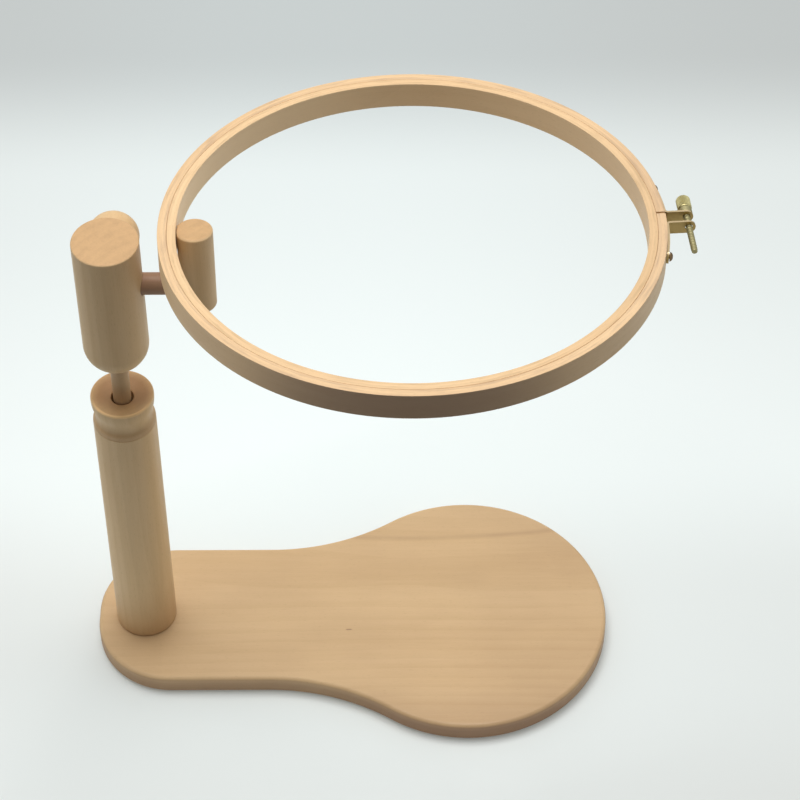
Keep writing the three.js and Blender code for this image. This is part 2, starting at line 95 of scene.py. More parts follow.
# The side of the outer ring that is darkened as painted shade, and a number that picks the plies' tones.
SHADED_FRONT = (-0.03, -0.9995, 0)
PLY_PICK = 7.3

# Metal: how fine its tarnish and its scratches are, per metre, and how strongly upward faces are painted
# lighter as painted light.
TARNISH_CLOUDS = (260, 260, 260)
SCRATCHES = (900, 900, 5200)
PAINTED_LIGHT_SHARE = 0.75

# The board's dark streak and its one short mark, from the board's middle.
STREAK_X, STREAK_Y, STREAK_BOW, STREAK_HALF = 0.04, 0.0562, 0.95, 0.003
MARK_X, MARK_Y = -0.0018, -0.0131
BOARD_CLOUDS = (16, 30, 1)
STREAK_BREAKS = (38, 9, 1)
SAWN_LAYERS = (9, 9, 700)

# How high warm bounce light is painted on the post's foot, and how fine the patches of painted shade on
# the stem are.
FOOT_PAINTED_BOUNCE = 0.05
SHADE_PATCHES = (60, 60, 25)

# Where the stem's and the knob's middles lie in the wood, so that their grain is not the post's.
STEM_GRAIN = (0.04, 0.02, 0)
KNOB_GRAIN = (0.02, 0, 0.01)

# The cross in a wood screw, as shares of its head's radius and of its cone.
CROSS_ARM, CROSS_HALF, CROSS_DEPTH = 0.62, 0.13, 0.6

# The camera, fitted to the photograph, the lamp over the stand, and the floor.
CAMERA_AT = (0.02932, -1.03326, 1.39446)
CAMERA_DOWN = math.radians(48.963)
CAMERA_ROLL = math.radians(-0.206)
CAMERA_LENS, CAMERA_SENSOR, CAMERA_REACH = 128.457, 36, 50
LAMP_AT, LAMP_TARGET = Vector((-0.12, 0.38, 2.0)), Vector((0.0, 0.05, 0.2))
LAMP_WIDTH, LAMP_DEPTH = 1.3, 0.9
FLOOR_HALF, FLOOR_DROP = 20, 0.0004


def joint(name):
    """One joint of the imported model."""
    return next(j for j in frame["joints"] if j["name"] == name)


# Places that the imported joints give.
PIVOT = Vector(joint("tilt")["pos_m"])
HOOP_AXIS = Vector(joint("ring_lift")["axis"]).normalized()
SCREW_AXIS = Vector(joint("screw_turn")["axis"]).normalized()
SCREW_AT = Vector(joint("screw_turn")["pos_m"])


def framed(origin, x, z):
    """A place with the given origin and X and Z directions."""
    z = Vector(z).normalized()
    y = z.cross(Vector(x)).normalized()
    x = y.cross(z)
    return Matrix.Translation(origin) @ Matrix((x, y, z)).transposed().to_4x4()


def shifted(place, x=0.0, y=0.0, z=0.0):
    """A place moved along its own axes."""
    return place @ Matrix.Translation((x, y, z))


BASE_LOW, BASE_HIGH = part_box("base_board")
POST_LOW, POST_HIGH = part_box("post")
STEM_LOW, STEM_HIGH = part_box("stem_dowel")
_, BARREL_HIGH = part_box("clamp_barrel")
RING_LOW, RING_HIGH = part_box("inner_ring")
HEAD = Matrix.Translation(PIVOT)
ARM = framed(PIVOT, (1, 0, 0), HOOP_AXIS)
HOOP = shifted(ARM, (RING_LOW.x + RING_HIGH.x) / 2 - PIVOT.x)
POST_AXIS = Matrix.Translation((PIVOT.x, 0, 0))
SCREW_WAY = ARM.to_3x3().inverted() @ SCREW_AXIS
SPLIT_HOOP = HOOP @ Matrix.Rotation(math.atan2(-SCREW_WAY.x, SCREW_WAY.y), 4, "Z")
SCREW_LINE = SPLIT_HOOP.inverted() @ SCREW_AT
SCREW_LEVEL = shifted(SPLIT_HOOP, z=SCREW_LINE.z)


def size(name, description, default):
    """A length that a user would change."""
    return FloatProperty(
        name=name, description=description, default=default, unit="LENGTH", subtype="DISTANCE", precision=5
    )


def tint(name, description, default):
    """A colour that a user would change."""
    return FloatVectorProperty(
        name=name, description=description, default=default, subtype="COLOR", size=3, min=0, max=1
    )


class BaseSizes(bpy.types.PropertyGroup):
    length: size("Length", "From the narrow end to the round end", BASE_HIGH.x - BASE_LOW.x)
    thickness: size("Thickness", "Of the board", BASE_HIGH.z - BASE_LOW.z)
    edge: size("Edge", "Rounding of the upper and lower edges", 0.0025)
    disc_radius: size("Disc radius", "Of the large round end", 0.0839)
    disc_past: size("Disc past", "Reach of the round end past half the length", 0.0008)
    end_half_width: size("Half width", "Of the narrow end", 0.049)
    end_corner: size("Corner radius", "At the narrow end's corners", 0.045)
    neck_radius: size("Neck radius", "Of the hollow curves between the ends", 0.134)


class PostSizes(bpy.types.PropertyGroup):
    foot_radius: size("Foot radius", "Of the post at the base", 0.0178)
    foot_edge: size("Foot edge", "Rounding at the foot", 0.0015)
    neck_radius: size("Neck radius", "Of the post below its shoulder", 0.0175)
    neck_edge: size("Neck edge", "Rounding below the fine groove", 0.0003)
    collar_radius: size("Collar radius", "Of the collar at its rim", 0.01755)
    collar_height: size("Collar height", "From the cove to the top", 0.014)
    lip_height: size("Lip height", "Of the straight rim round the top", 0.0025)
    lip_edge: size("Lip edge", "Rounding of the rim", 0.0009)
    dish_depth: size("Dish depth", "How far the top is hollowed inside the rim", 0.0023)
    cove_depth: size("Cove depth", "Of the hollow below the collar", 0.0016)
    shoulder: size("Shoulder", "From the fine groove up to the cove", 0.0067)
    shoulder_turn: FloatProperty(
        name="Shoulder turn",
        description="Share of the shoulder below its turn into the cove",
        default=0.55,
        min=0,
        max=1,
        subtype="FACTOR",
    )
    shoulder_ease: size("Shoulder ease", "How softly the shoulder turns into the cove", 0.0008)
    groove_depth: size("Groove depth", "Of the fine groove below the shoulder", 0.0003)
    mouth_radius: size("Mouth radius", "Of the wide mouth in the top", 0.0064)
    mouth_depth: size("Mouth depth", "Of the wide mouth in the top", 0.008)
    bore_depth: size("Bore depth", "Of the bore for the stem", 0.104)
    stem_radius: size("Stem radius", "Of the dowel that slides in the post", 0.005)
    stem_edge: size("Stem edge", "Rounding of the stem's ends", 0.0008)
    clearance: size("Clearance", "Around each piece that sits in a bore", 0.0003)


class HeadSizes(bpy.types.PropertyGroup):
    barrel_radius: size("Barrel radius", "Of the clamp barrel", 0.0179)
    barrel_rise: size("Barrel rise", "Of the barrel's top above its plain solid", 0.0014)
    dome: size("Dome", "Rounding of the barrel's lower end", 0.0155)
    top_edge: size("Top edge", "Rounding of the barrel's upper edge", 0.0008)
    stem_depth: size("Stem depth", "How far the stem goes up into the barrel", 0.045)
    knob_radius: size("Knob radius", "Of the ball knob across its axis", 0.0139)
    knob_half: size("Knob half length", "Of the ball knob along its axis", 0.0129)
    knob_neck: size("Knob neck radius", "Of the knob's neck", 0.0082)
    knob_neck_length: size("Knob neck length", "Of the knob's neck", 0.0058)
    knob_neck_edge: size("Knob neck edge", "Rounding of the neck's end", 0.0007)
    knob_mouth_edge: size("Knob mouth edge", "Rounding of the bore's mouth in the knob", 0.0004)
    knob_standoff: size("Knob standoff", "Between the barrel and the knob's neck", 0.0012)
    stud_radius: size("Stud radius", "Over the stud's thread", 0.004)
    stud_pitch: size("Stud pitch", "Of the stud's thread", 0.00125)
    stud_in_knob: size("Stud in knob", "Length of stud inside the knob", 0.018)
    insert_radius: size("Insert radius", "Of the threaded insert", 0.006)
    insert_length: size("Insert length", "Of the threaded insert", 0.0085)
    insert_recess: size("Insert recess", "Below the back of the barrel", 0.0013)
    insert_edge: size("Insert edge", "Rounding of the insert's outer end", 0.0003)


class HoopSizes(bpy.types.PropertyGroup):
    rod_radius: size("Rod radius", "Of the arm rod", 0.006)
    rod_edge: size("Rod edge", "Rounding of the rod's ends", 0.0008)
    rod_past_axis: size("Rod past axis", "From the barrel's axis to the rod's hidden end", 0.01)
    block_radius: size("Block radius", "Of the hoop block", 0.0098)
    block_edge: size("Block edge", "Rounding of the block's ends", 0.0012)
    block_seat: size("Block seat", "Depth of the hollow where the inner ring sits", 0.0005)
    block_below_rod: size("Block below rod", "From the rod's axis to the block's lower end", 0.0135)
    block_below_ring: size("Block below ring", "From the rings' top to the block's top", 0.003)
    rod_to_ring: size("Rod to ring", "From the rod's axis up to the rings", 0.0243)
    inner_bore: size("Inner bore", "Radius of the inner ring's inside", 0.1224)
    inner_wall: size("Inner wall", "Thickness of the inner ring", 0.0046)
    outer_bore: size("Outer bore", "Radius of the outer ring's inside", 0.12712)
    outer_wall: size("Outer wall", "Thickness of the outer ring", 0.0048)
    ring_height: size("Ring height", "Of both rings", 0.01494)
    ring_edge: size("Ring edge", "Rounding of the rings' edges", 0.0003)
    slit: size("Slit", "Width of the split in the outer ring", 0.0014)


class BrassSizes(bpy.types.PropertyGroup):
    strap_gap: size("Strap gap", "Between the outer ring and a strap", 0.0001)
    strap_thickness: size("Strap thickness", "Of the brass strip", 0.0012)
    strap_height: size("Strap height", "Of the brass strip", 0.0074)
    strap_length: size("Strap length", "Along the ring, from the lug", 0.027)
    strap_bend: size("Strap bend", "Radius of the bend into the lug", 0.0012)
    strap_edge: size("Strap edge", "Rounding of the strip's edges", 0.00012)
    strap_end_ease: size("Strap end ease", "By which a strap's end is less than a half round", 0.0002)
    lug_spacing: size("Lug spacing", "Between the middles of both lugs", 0.0086)
    lug_reach: size("Lug reach", "From the ring's wall to the lug's round end", 0.0156)
    rivet_radius: size("Rivet radius", "Of a rivet's shank", 0.0012)
    rivet_head: size("Rivet head", "Radius of a rivet's head", 0.0025)
    rivet_rise: size("Rivet rise", "Height of a rivet's head", 0.0017)
    rivet_grip: size("Rivet grip", "Length of shank inside the ring", 0.0034)
    rivet_from_end: size("Rivet from end", "From a strap's end to its rivet", 0.0034)
    screw_radius: size("Screw radius", "Over the tension screw's thread", 0.0019)
    screw_pitch: size("Screw pitch", "Of the tension screw's thread", 0.0007)
    screw_point: size("Screw point", "Chamfer at the screw's tip", 0.0005)
    lug_clearance: size("Lug clearance", "Between the screw and a lug's hole", 0.0001)
    screw_past_lug: size("Screw past lug", "Length of screw beyond the near lug", 0.0202)
    shoulder_radius: size("Shoulder radius", "Of the collar below the head", 0.0035)
    shoulder_length: size("Shoulder length", "Of the collar below the head", 0.0041)
    shoulder_lug_edge: size("Shoulder lug edge", "Rounding of the collar at the lug", 0.0003)
    shoulder_head_edge: size("Shoulder head edge", "Rounding of the collar at the head", 0.0005)
    spigot_radius: size("Spigot radius", "Of the screw's end inside its head", 0.0015)
    spigot_length: size("Spigot length", "Of the screw's end inside its head", 0.005)
    head_radius: size("Head radius", "Over the knurled head's ridges", 0.0038)
    head_length: size("Head length", "Of the knurled head", 0.0085)
    head_edge: size("Head edge", "Chamfer of the knurled head", 0.0006)
    ridges: IntProperty(name="Ridges", description="Around the knurled head", default=32, min=8, max=80)
    ridge_depth: size("Ridge depth", "Of the knurled head", 0.00028)


class Finishes(bpy.types.PropertyGroup):
    beech_light: tint("Beech, light", "Early wood of the board and the turned pieces", (0.7, 0.485, 0.262))
    beech_dark: tint("Beech, dark", "Late wood of the board and the turned pieces", (0.54, 0.345, 0.165))
    end_grain: tint("End grain", "Sanded ends of the turned pieces", (0.56, 0.343, 0.163))
    # Stain also carries painted shade: on the board's ends, near rim and sawn edge, and over the stem.
    stain: tint("Stain", "Handled, sawn and shaded places of the beech", (0.31, 0.175, 0.095))
    # Colour of the painted warm bounce light on the post's foot and of the painted shade on its shoulder
    # and hollow top.
    warm_painted_shade: tint("Warm stain", "Handled and shaded places of the post", (0.36, 0.18, 0.075))
    # Painted light on the post's rim and on the near side of its hollow top.
    painted_light: tint("Rubbed", "Pale rim of the post's top", (0.85, 0.56, 0.27))
    ring_light: tint("Ring, light", "Light plies of the hoop", (0.83, 0.582, 0.332))
    ring_dark: tint("Ring, dark", "Dark plies of the hoop", (0.65, 0.417, 0.212))
    # Painted light on the left half of the inner ring's walls.
    ring_painted_light: tint("Ring, bleached", "Paler left half of the inner ring", (0.98, 0.74, 0.46))
    # Painted shade on the front of the outer ring's outside.
    ring_painted_shade: tint("Ring, dull", "Worn outside of the outer ring", (0.23, 0.145, 0.117))
    dowel_light: tint("Rod, light", "Light grain of the arm rod", (0.4, 0.235, 0.14))
    dowel_dark: tint("Rod, dark", "Dark grain of the arm rod", (0.26, 0.145, 0.08))
    brass: tint("Brass", "Of the tension screw and the insert", (0.56, 0.485, 0.245))
    # A darker brass for the screw's thread.
    thread_brass: tint("Thread brass", "Of the screw's greasy thread", (0.385, 0.335, 0.18))
    # Brass darkened as painted shade, for the dark front that the straps reflect.
    shaded_strap_brass: tint("Strap brass", "Of the dull straps", (0.385, 0.27, 0.107))
    # Painted light on the upward faces of the straps.
    brass_painted_light: tint("Rubbed brass", "Upper edges of the straps", (0.62, 0.47, 0.3))
    dark_brass: tint("Dark brass", "Of the rivets", (0.2, 0.125, 0.065))
    steel: tint("Steel", "Of the stud and the wood screws", (0.5, 0.5, 0.49))


class Studio(bpy.types.PropertyGroup):
    floor: tint("Floor", "Pale floor under the stand", (0.855, 0.914, 0.9))
    floor_far: tint("Floor, far", "Far floor, where the light falls off", (0.54, 0.575, 0.57))
    floor_bounce: tint("Floor bounce", "What the wood sees of the floor in front", (0.06, 0.06, 0.065))
    floor_shade: tint("Floor shade", "Warm shade near the stand", (0.2, 0.06, 0.0))
    sky_colour: tint("Sky colour", "Of the soft light all round", (0.97, 0.99, 1.0))
    key_power: FloatProperty(
        name="Key power",
        description="Of the overhead lamp",
        default=29.0,
        min=0,
        subtype="POWER",
        unit="POWER",
    )
    sky: FloatProperty(name="Sky", description="Strength of the soft light all round", default=0.51, min=0)


# Node trees


class Socket:
    """One output of a node. Arithmetic on it adds Math nodes to the same tree."""

    def __init__(self, nodes, socket):
        self.nodes = nodes
        self.socket = socket

    def out(self, name):
        """Another output of the same node."""
        return Socket(self.nodes, self.socket.node.outputs[name])

    def math(self, operation, *values):
        """One Math node on the given values."""
        return self.nodes.add("ShaderNodeMath", {"operation": operation}, dict(enumerate(values)))

    def __add__(self, value):
        return self.math("ADD", self, value)

    __radd__ = __add__

    def __mul__(self, value):
        return self.math("MULTIPLY", self, value)

    __rmul__ = __mul__

    def __sub__(self, value):
        return self.math("SUBTRACT", self, value)

    def __rsub__(self, value):
        return self.math("SUBTRACT", value, self)

    def __truediv__(self, value):
        return self.math("DIVIDE", self, value)

    def __rtruediv__(self, value):
        return self.math("DIVIDE", value, self)

    def __pow__(self, value):
        return self.math("POWER", self, value)

    def __abs__(self):
        return self.math("ABSOLUTE", self)


class Nodes:
    """A node tree that is being built."""

    def __init__(self, tree):
        self.tree = tree
        tree.nodes.clear()

    def add(self, kind, settings=None, inputs=None, output=None):
        """Adds a node: its settings first, then the values or links of its sockets. Gives one output."""
        node = self.tree.nodes.new(kind)
        for key, value in (settings or {}).items():
            setattr(node, key, value)
        for key, value in (inputs or {}).items():
            for item in value if isinstance(value, list) else [value]:
                if isinstance(item, Socket):
                    self.tree.links.new(item.socket, node.inputs[key])
                else:
                    node.inputs[key].default_value = item
        outputs = [socket for socket in node.outputs if socket.enabled]
        if output is not None:
            return Socket(self, node.outputs[output])
        return Socket(self, outputs[0]) if outputs else None

    def mix(self, factor, first, second):
        """A colour between two colours."""
        return self.add(
            "ShaderNodeMix", {"data_type": "RGBA"}, {0: factor, 6: first, 7: second}, output=2
        )

    def ease(self, value, low, high):
        """0 below low, 1 above high, smooth between."""
        return self.add(
            "ShaderNodeMapRange",
            {"interpolation_type": "SMOOTHSTEP"},
            {"Value": value, "From Min": low, "From Max": high},
        )

    def noise(self, vector, stretch, detail=2.0):
        """Noise on a vector that is first stretched along its own axes."""
        scaled = self.vector("MULTIPLY", vector, stretch)
        return self.add("ShaderNodeTexNoise", {}, {"Vector": scaled, "Scale": 1.0, "Detail": detail})

    def vector(self, operation, first, second):
        """Vector Math that gives a vector."""
        return self.add("ShaderNodeVectorMath", {"operation": operation}, {0: first, 1: tuple(second)})

    def dot(self, vector, direction):
        """How far a vector reaches along a direction."""
        return self.add(
            "ShaderNodeVectorMath",
            {"operation": "DOT_PRODUCT"},
            {0: vector, 1: tuple(direction)},
            output="Value",
        )


def rgba(colour, level=1.0):
    """A colour for a socket, made darker or lighter by a level."""
    return (*(channel * level for channel in colour), 1.0)


# Finishes


def new_finish(name):
    """An empty material and its nodes."""
    material = bpy.data.materials.new(name)
    material.use_nodes = True
    return material, Nodes(material.node_tree)


def close_finish(nodes, inputs):
    """Ends a material in one surface shader."""
    shader = nodes.add("ShaderNodeBsdfPrincipled", {}, inputs)
    nodes.add("ShaderNodeOutputMaterial", {}, {"Surface": shader})


def wood(nodes, along, across, depth, light, dark, end=None, end_colour=None, tints=()):
    """Beech on coordinates along and across its grain: growth lines, streaks, flecks and end grain.

    Tints are pairs of a factor and the colour that it lays over the wood.
    """
    grain = nodes.add("ShaderNodeCombineXYZ", {}, {0: along, 1: across, 2: depth})
    broad = nodes.noise(grain, BROAD_BANDS)
    streak = nodes.noise(grain, STREAKS, 3.0)
    fibre = nodes.noise(grain, FIBRES)
    fleck = nodes.ease(nodes.noise(grain, FLECKS, 1.0), 0.63, 0.73)
    wander = nodes.noise(grain, WANDERING) - 0.5
    from_pith = ((across - PITH_ACROSS) ** 2.0 + (depth + PITH_BELOW) ** 2.0) ** 0.5
    years = (from_pith + wander * 0.02) / YEAR_WIDTH
    late = nodes.ease(years.math("FRACT", years), 0.35, 0.95)
    tone = 0.4 + (broad - 0.5) * 0.6 + (streak - 0.5) * 0.22
    tone = tone + (fibre - 0.5) * 0.22 + (late - 0.4) * 0.08
    colour = nodes.mix(nodes.ease(tone, 0.0, 1.0), rgba(light), rgba(dark))
    colour = nodes.mix(fleck * 0.18, colour, rgba(dark, 0.62))
    height = (streak * 0.4 + fibre * 0.5) - fleck * 0.7
    if end is not None:
        pores = nodes.ease(nodes.noise(grain, END_PORES, 3.0), 0.35, 0.75)
        patches = nodes.ease(nodes.noise(grain, END_PATCHES, 3.0), 0.4, 0.7)
        darker = late * 0.12 + pores * 0.2 + patches * 0.25
        ends = nodes.mix(darker, rgba(end_colour), rgba(end_colour, 0.72))
        colour = nodes.mix(end, colour, ends)
    for factor, tinted in tints:
        colour = nodes.mix(factor, colour, tinted)
    rough = 0.5 + (streak - 0.5) * 0.3 + fleck * 0.1
    normal = nodes.add("ShaderNodeBump", {}, {"Strength": 0.22, "Distance": 0.0002, "Height": height})
    close_finish(
        nodes,
        {"Base Color": colour, "Roughness": rough, "Normal": normal, "Specular IOR Level": 0.35},
    )


def straight_grain(name, light, dark, end_colour, place, axis, *tints):
    """Beech with its grain along one axis of a piece's place.

    Tints are pairs of a function that gives where a colour lies, and that colour.
    """
    material, nodes = new_finish(name)
    turn = place.to_3x3()
    order = {"X": (0, 1, 2), "Y": (1, 2, 0), "Z": (2, 0, 1)}[axis]
    object_at = nodes.add("ShaderNodeTexCoord", output="Object")
    here = nodes.vector("SUBTRACT", object_at, place.translation)
    along, across, depth = (nodes.dot(here, turn.col[i]) for i in order)
    facing = abs(nodes.dot(object_at.out("Normal"), turn.col[order[0]]))
    end = nodes.ease(facing, 0.72, 0.97)
    laid = [(where(nodes, object_at), rgba(colour)) for where, colour in tints]
    wood(nodes, along, across, depth, light, dark, end, end_colour, laid)
    return material


def round_grain(name, light, dark, place, bore, wall, seam, dull=None, painted_light_side=None):
    """Laminated beech bent round a hoop: plies show on its edges.

    A dull colour is painted shade on its outside at the front, and a pale one is painted light on the left
    of its walls, with painted shade on their right. Painted shade also darkens its edges on the right.
    """
    material, nodes = new_finish(name)
    turn = place.to_3x3()
    object_at = nodes.add("ShaderNodeTexCoord", output="Object")
    here = nodes.vector("SUBTRACT", object_at, place.translation)
    side = nodes.dot(here, turn.col[0])
    back = nodes.dot(here, turn.col[1])
    up = nodes.dot(here, turn.col[2])
    radius = (side ** 2.0 + back ** 2.0) ** 0.5
    around = side.math("ARCTAN2", back * seam, side * seam) * (bore + wall / 2)
    ply = (radius - bore) / (wall / 3)
    layer = ply.math("FLOOR", ply)
    tone = nodes.add("ShaderNodeTexWhiteNoise", {"noise_dimensions": "1D"}, {"W": layer + PLY_PICK})
    across_ply = ply.math("FRACT", ply)
    seam_line = nodes.ease(abs(across_ply - 0.5), 0.44, 0.5)
    normal = object_at.out("Normal")
    edge_on = nodes.ease(abs(nodes.dot(normal, turn.col[2])), 0.6, 0.9)
    ply_edge = nodes.add("ShaderNodeCombineXYZ", {}, {0: around, 1: radius, 2: 0.0})
    mottle = nodes.ease(nodes.noise(ply_edge, PLY_MOTTLE, 3.0), 0.46, 0.7)
    # Painted shade: the ring's edges darker on the right.
    darker_side = nodes.ease(side / radius, 0.75, 0.98)
    shade = edge_on * (tone * 0.16 + seam_line * 0.16 + mottle * 0.24 + darker_side * 0.14)
    # Painted shade on the outer ring's outside, darkest at the front.
    if dull:
        outward = (nodes.dot(normal, turn.col[0]) * side + nodes.dot(normal, turn.col[1]) * back) / radius
        front = nodes.dot(here, SHADED_FRONT) / radius
        shade = shade + nodes.ease(outward, 0.5, 0.9) * (0.01 + nodes.ease(front, 0.7, 0.985) * 0.62)
    tints = [(shade, rgba(dull) if dull else rgba(dark, 0.5))]
    # Painted light on the left of the inner ring's walls, and painted shade on their right.
    if painted_light_side:
        left = 1.0 - nodes.ease(side / radius, -0.5, 0.1)
        right = nodes.ease(side / radius, 0.5, 0.95)
        tints.append(((1.0 - edge_on) * left * 0.45, rgba(painted_light_side)))
        tints.append(((1.0 - edge_on) * right * 0.1, rgba(dark, 0.5)))
    wood(nodes, around, up, radius, light, dark, tints=tints)
    return material


def metal(name, colour, roughness, tarnish, painted_light=None):
    """Metal with cloudy tarnish and fine scratches and, with a lighter colour given, upward faces painted
    lighter as painted light.
    """
    material, nodes = new_finish(name)
    here = nodes.add("ShaderNodeTexCoord", output="Object")
    cloud = nodes.noise(here, TARNISH_CLOUDS, 3.0)
    scratch = nodes.noise(here, SCRATCHES)
    stain = nodes.ease(cloud, 0.45, 0.75) * tarnish
    base = nodes.mix(stain, rgba(colour), rgba(colour, 0.45))
    # Painted light: upward faces lighter.
    if painted_light:
        upper = nodes.ease(nodes.dot(here.out("Normal"), HOOP_AXIS), 0.5, 0.95)
        base = nodes.mix(upper * PAINTED_LIGHT_SHARE, base, rgba(painted_light))
    rough = roughness + (cloud - 0.5) * 0.25 + (scratch - 0.5) * 0.12
    normal = nodes.add("ShaderNodeBump", {}, {"Strength": 0.12, "Distance": 0.00005, "Height": scratch})
    close_finish(nodes, {"Base Color": base, "Metallic": 1.0, "Roughness": rough, "Normal": normal})
    return material


# Meshes


def link(name, shape, place):
    """A finished bmesh as an object whose place is in its mesh."""
    mesh = bpy.data.meshes.new(name)
    shape.to_mesh(mesh)
    shape.free()
    mesh.transform(place)
    piece = bpy.data.objects.new(name, mesh)
    bpy.context.scene.collection.objects.link(piece)
    return piece


def arc(centre, radius, start, end, steps, flatten=1.0):
    """Points of an arc in a plane, squeezed along its second axis by flatten."""
    angles = [start + (end - start) * k / steps for k in range(steps + 1)]
    return [
        (centre[0] + radius * math.cos(a), centre[1] + flatten * radius * math.sin(a)) for a in angles
    ]


def curve(start, control, end, steps=10):
    """Points of a quadratic curve in a plane."""
    points = []
    for k in range(steps + 1):
        t = k / steps
        weights = ((1 - t) ** 2, 2 * t * (1 - t), t * t)
        points.append(tuple(sum(w * p[i] for w, p in zip(weights, (start, control, end))) for i in (0, 1)))
    return points


def rounded(points, steps=5):
    """Points of a section, with a round at each corner that gives its radius as a third number."""
    section = []
    for i, point in enumerate(points):
        if len(point) == 2:
            section.append(point)
            continue
        corner, radius = Vector(point[:2]), point[2]
        before = (Vector(points[i - 1][:2]) - corner).normalized()
        after = (Vector(points[(i + 1) % len(points)][:2]) - corner).normalized()
        half = before.angle(after) / 2
        centre = corner + (before + after).normalized() * radius / math.sin(half)
        first = corner + before * radius / math.tan(half) - centre
        last = corner + after * radius / math.tan(half) - centre
        start = math.atan2(first.y, first.x)
        sweep = first.angle_signed(last)
        section += arc(centre, radius, start, start - sweep, steps)
    return section


def turned(name, section, place, facets=TURNED_FACETS):
    """A piece turned about its own Z axis from (radius, height) points, set in its place."""
    shape = bmesh.new()
    rings = []
    for radius, height in section:
        spots = 1 if radius < TINY else facets
        angles = [FULL_TURN * k / facets for k in range(spots)]
        rings.append(
            [shape.verts.new((radius * math.cos(a), radius * math.sin(a), height)) for a in angles]
        )
    closed = len(rings[0]) > 1
    for low, high in zip(rings, rings[1:] + (rings[:1] if closed else [])):
        for k in range(facets):
            n = (k + 1) % facets
            if len(low) == 1:
                shape.faces.new((low[0], high[n], high[k]))
            elif len(high) == 1:
                shape.faces.new((low[k], low[n], high[0]))
            else:
                shape.faces.new((low[k], low[n], high[n], high[k]))
    return link(name, shape, place)


def bar(radius, low, high):
    """Section of a plain round bar."""
    return [(0, low), (radius, low), (radius, high), (0, high)]


def dowel(radius, low, high, edge):
    """Section of a round bar with rounded ends."""
    return rounded([(0, low), (radius, low, edge), (radius, high, edge), (0, high)])


def countersink(head, shank, seat, foot, end):
    """Section of a screw's hole: a wide mouth, a cone from seat to foot, and a bore to the end."""
    return [(0, -head), (head, -head), (head, seat), (shank, foot), (shank, end), (0, end)]


def prism(name, outline, low, high, place):
    """A straight solid on a flat outline that runs anticlockwise."""
    shape = bmesh.new()
    bottom = [shape.verts.new((x, y, low)) for x, y in outline]
    top = [shape.verts.new((x, y, high)) for x, y in outline]
    shape.faces.new(reversed(bottom))
    shape.faces.new(top)
    for k in range(len(outline)):
        n = (k + 1) % len(outline)
        shape.faces.new((bottom[k], bottom[n], top[n], top[k]))
    return link(name, shape, place)


def settle(piece):
    """Makes a piece's modifiers part of its plain mesh."""
    graph = bpy.context.evaluated_depsgraph_get()
    mesh = bpy.data.meshes.new_from_object(piece.evaluated_get(graph))
    former = piece.data
    piece.modifiers.clear()
    piece.data = mesh
    bpy.data.meshes.remove(former)
    mesh.name = piece.name
    return piece


def discard(*pieces):
    """Removes helper pieces with their meshes."""
    for piece in pieces:
        mesh = piece.data
        bpy.data.objects.remove(piece)
        bpy.data.meshes.remove(mesh)


def carve(piece, *cutters, operation="DIFFERENCE"):
    """Cuts a piece by other solids, which are then gone."""
    for cutter in cutters:
        modifier = piece.modifiers.new("cut", "BOOLEAN")
        modifier.object = cutter
        modifier.operation = operation
        modifier.solver = "EXACT"
    settle(piece)
    discard(*cutters)
    return piece


def soften(piece, width, segments=2):
    """Breaks a piece's sharp edges."""
    modifier = piece.modifiers.new("edges", "BEVEL")
    modifier.width = width
    modifier.segments = segments
    modifier.limit_method = "ANGLE"
    modifier.angle_limit = SHARP_ANGLE
    return settle(piece)


def face_out(piece):
    """Merges doubles and turns a closed mesh's faces outwards."""
    shape = bmesh.new()
    shape.from_mesh(piece.data)
    bmesh.ops.remove_doubles(shape, verts=shape.verts, dist=TINY)
    bmesh.ops.recalc_face_normals(shape, faces=shape.faces)
    shape.to_mesh(piece.data)
    shape.free()
    return piece


def dress(piece, body, slot, material, *nodes):
    """Smooths a finished piece, gives it its finish, and puts it on its body in place of its solids."""
    mesh = piece.data
    mesh.polygons.foreach_set("use_smooth", [True] * len(mesh.polygons))
    mesh.set_sharp_from_angle(angle=SHARP_ANGLE)
    modifier = piece.modifiers.new("normals", "WEIGHTED_NORMAL")
    modifier.keep_sharp = True
    settle(piece)
    piece.data.materials.clear()
    piece.data.materials.append(material)
    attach(piece, body)
    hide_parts(*nodes)
    return piece


# Geometry Nodes


def new_tree(name, inputs):
    """An empty Geometry Nodes tree with named inputs. Gives the tree, its nodes and its inputs by name."""
    tree = bpy.data.node_groups.new(name, "GeometryNodeTree")
    nodes = Nodes(tree)
    tree.interface.new_socket("Geometry", in_out="OUTPUT", socket_type="NodeSocketGeometry")
    for label, kind in inputs.items():
        tree.interface.new_socket(label, in_out="INPUT", socket_type=f"NodeSocket{kind}")
    entry = nodes.add("NodeGroupInput")
    return tree, nodes, {label: entry.out(label) for label in inputs}


def close_tree(nodes, geometry, material):
    """Ends a tree in real meshes with a material."""
    real = nodes.add("GeometryNodeRealizeInstances", {}, {"Geometry": geometry})
    done = nodes.add("GeometryNodeSetMaterial", {}, {"Geometry": real, "Material": material})
    nodes.add("NodeGroupOutput", {}, {0: done})


def close_on_core(nodes, given, added, height):
    """Ends a tree in its turned core with something added at a height."""
    lift = nodes.add("ShaderNodeCombineXYZ", {}, {2: height})
    raised = nodes.add("GeometryNodeTransform", {}, {"Geometry": added, "Translation": lift})
    core = nodes.add("GeometryNodeObjectInfo", {}, {"Object": given["Core"]}, output="Geometry")
    both = nodes.add("GeometryNodeJoinGeometry", {}, {0: [core, raised]})
    close_tree(nodes, both, given["Material"])


def grow(name, tree, values, place):
    """Runs a tree with the given inputs and keeps its result as a plain mesh in its place."""
    piece = bpy.data.objects.new(name, bpy.data.meshes.new(name))
    bpy.context.scene.collection.objects.link(piece)
    modifier = piece.modifiers.new(name, "NODES")
    modifier.node_group = tree
    for item in tree.interface.items_tree:
        if item.in_out == "INPUT":
            modifier[item.identifier] = values[item.name]
    settle(piece)
    piece.data.transform(place)
    return piece


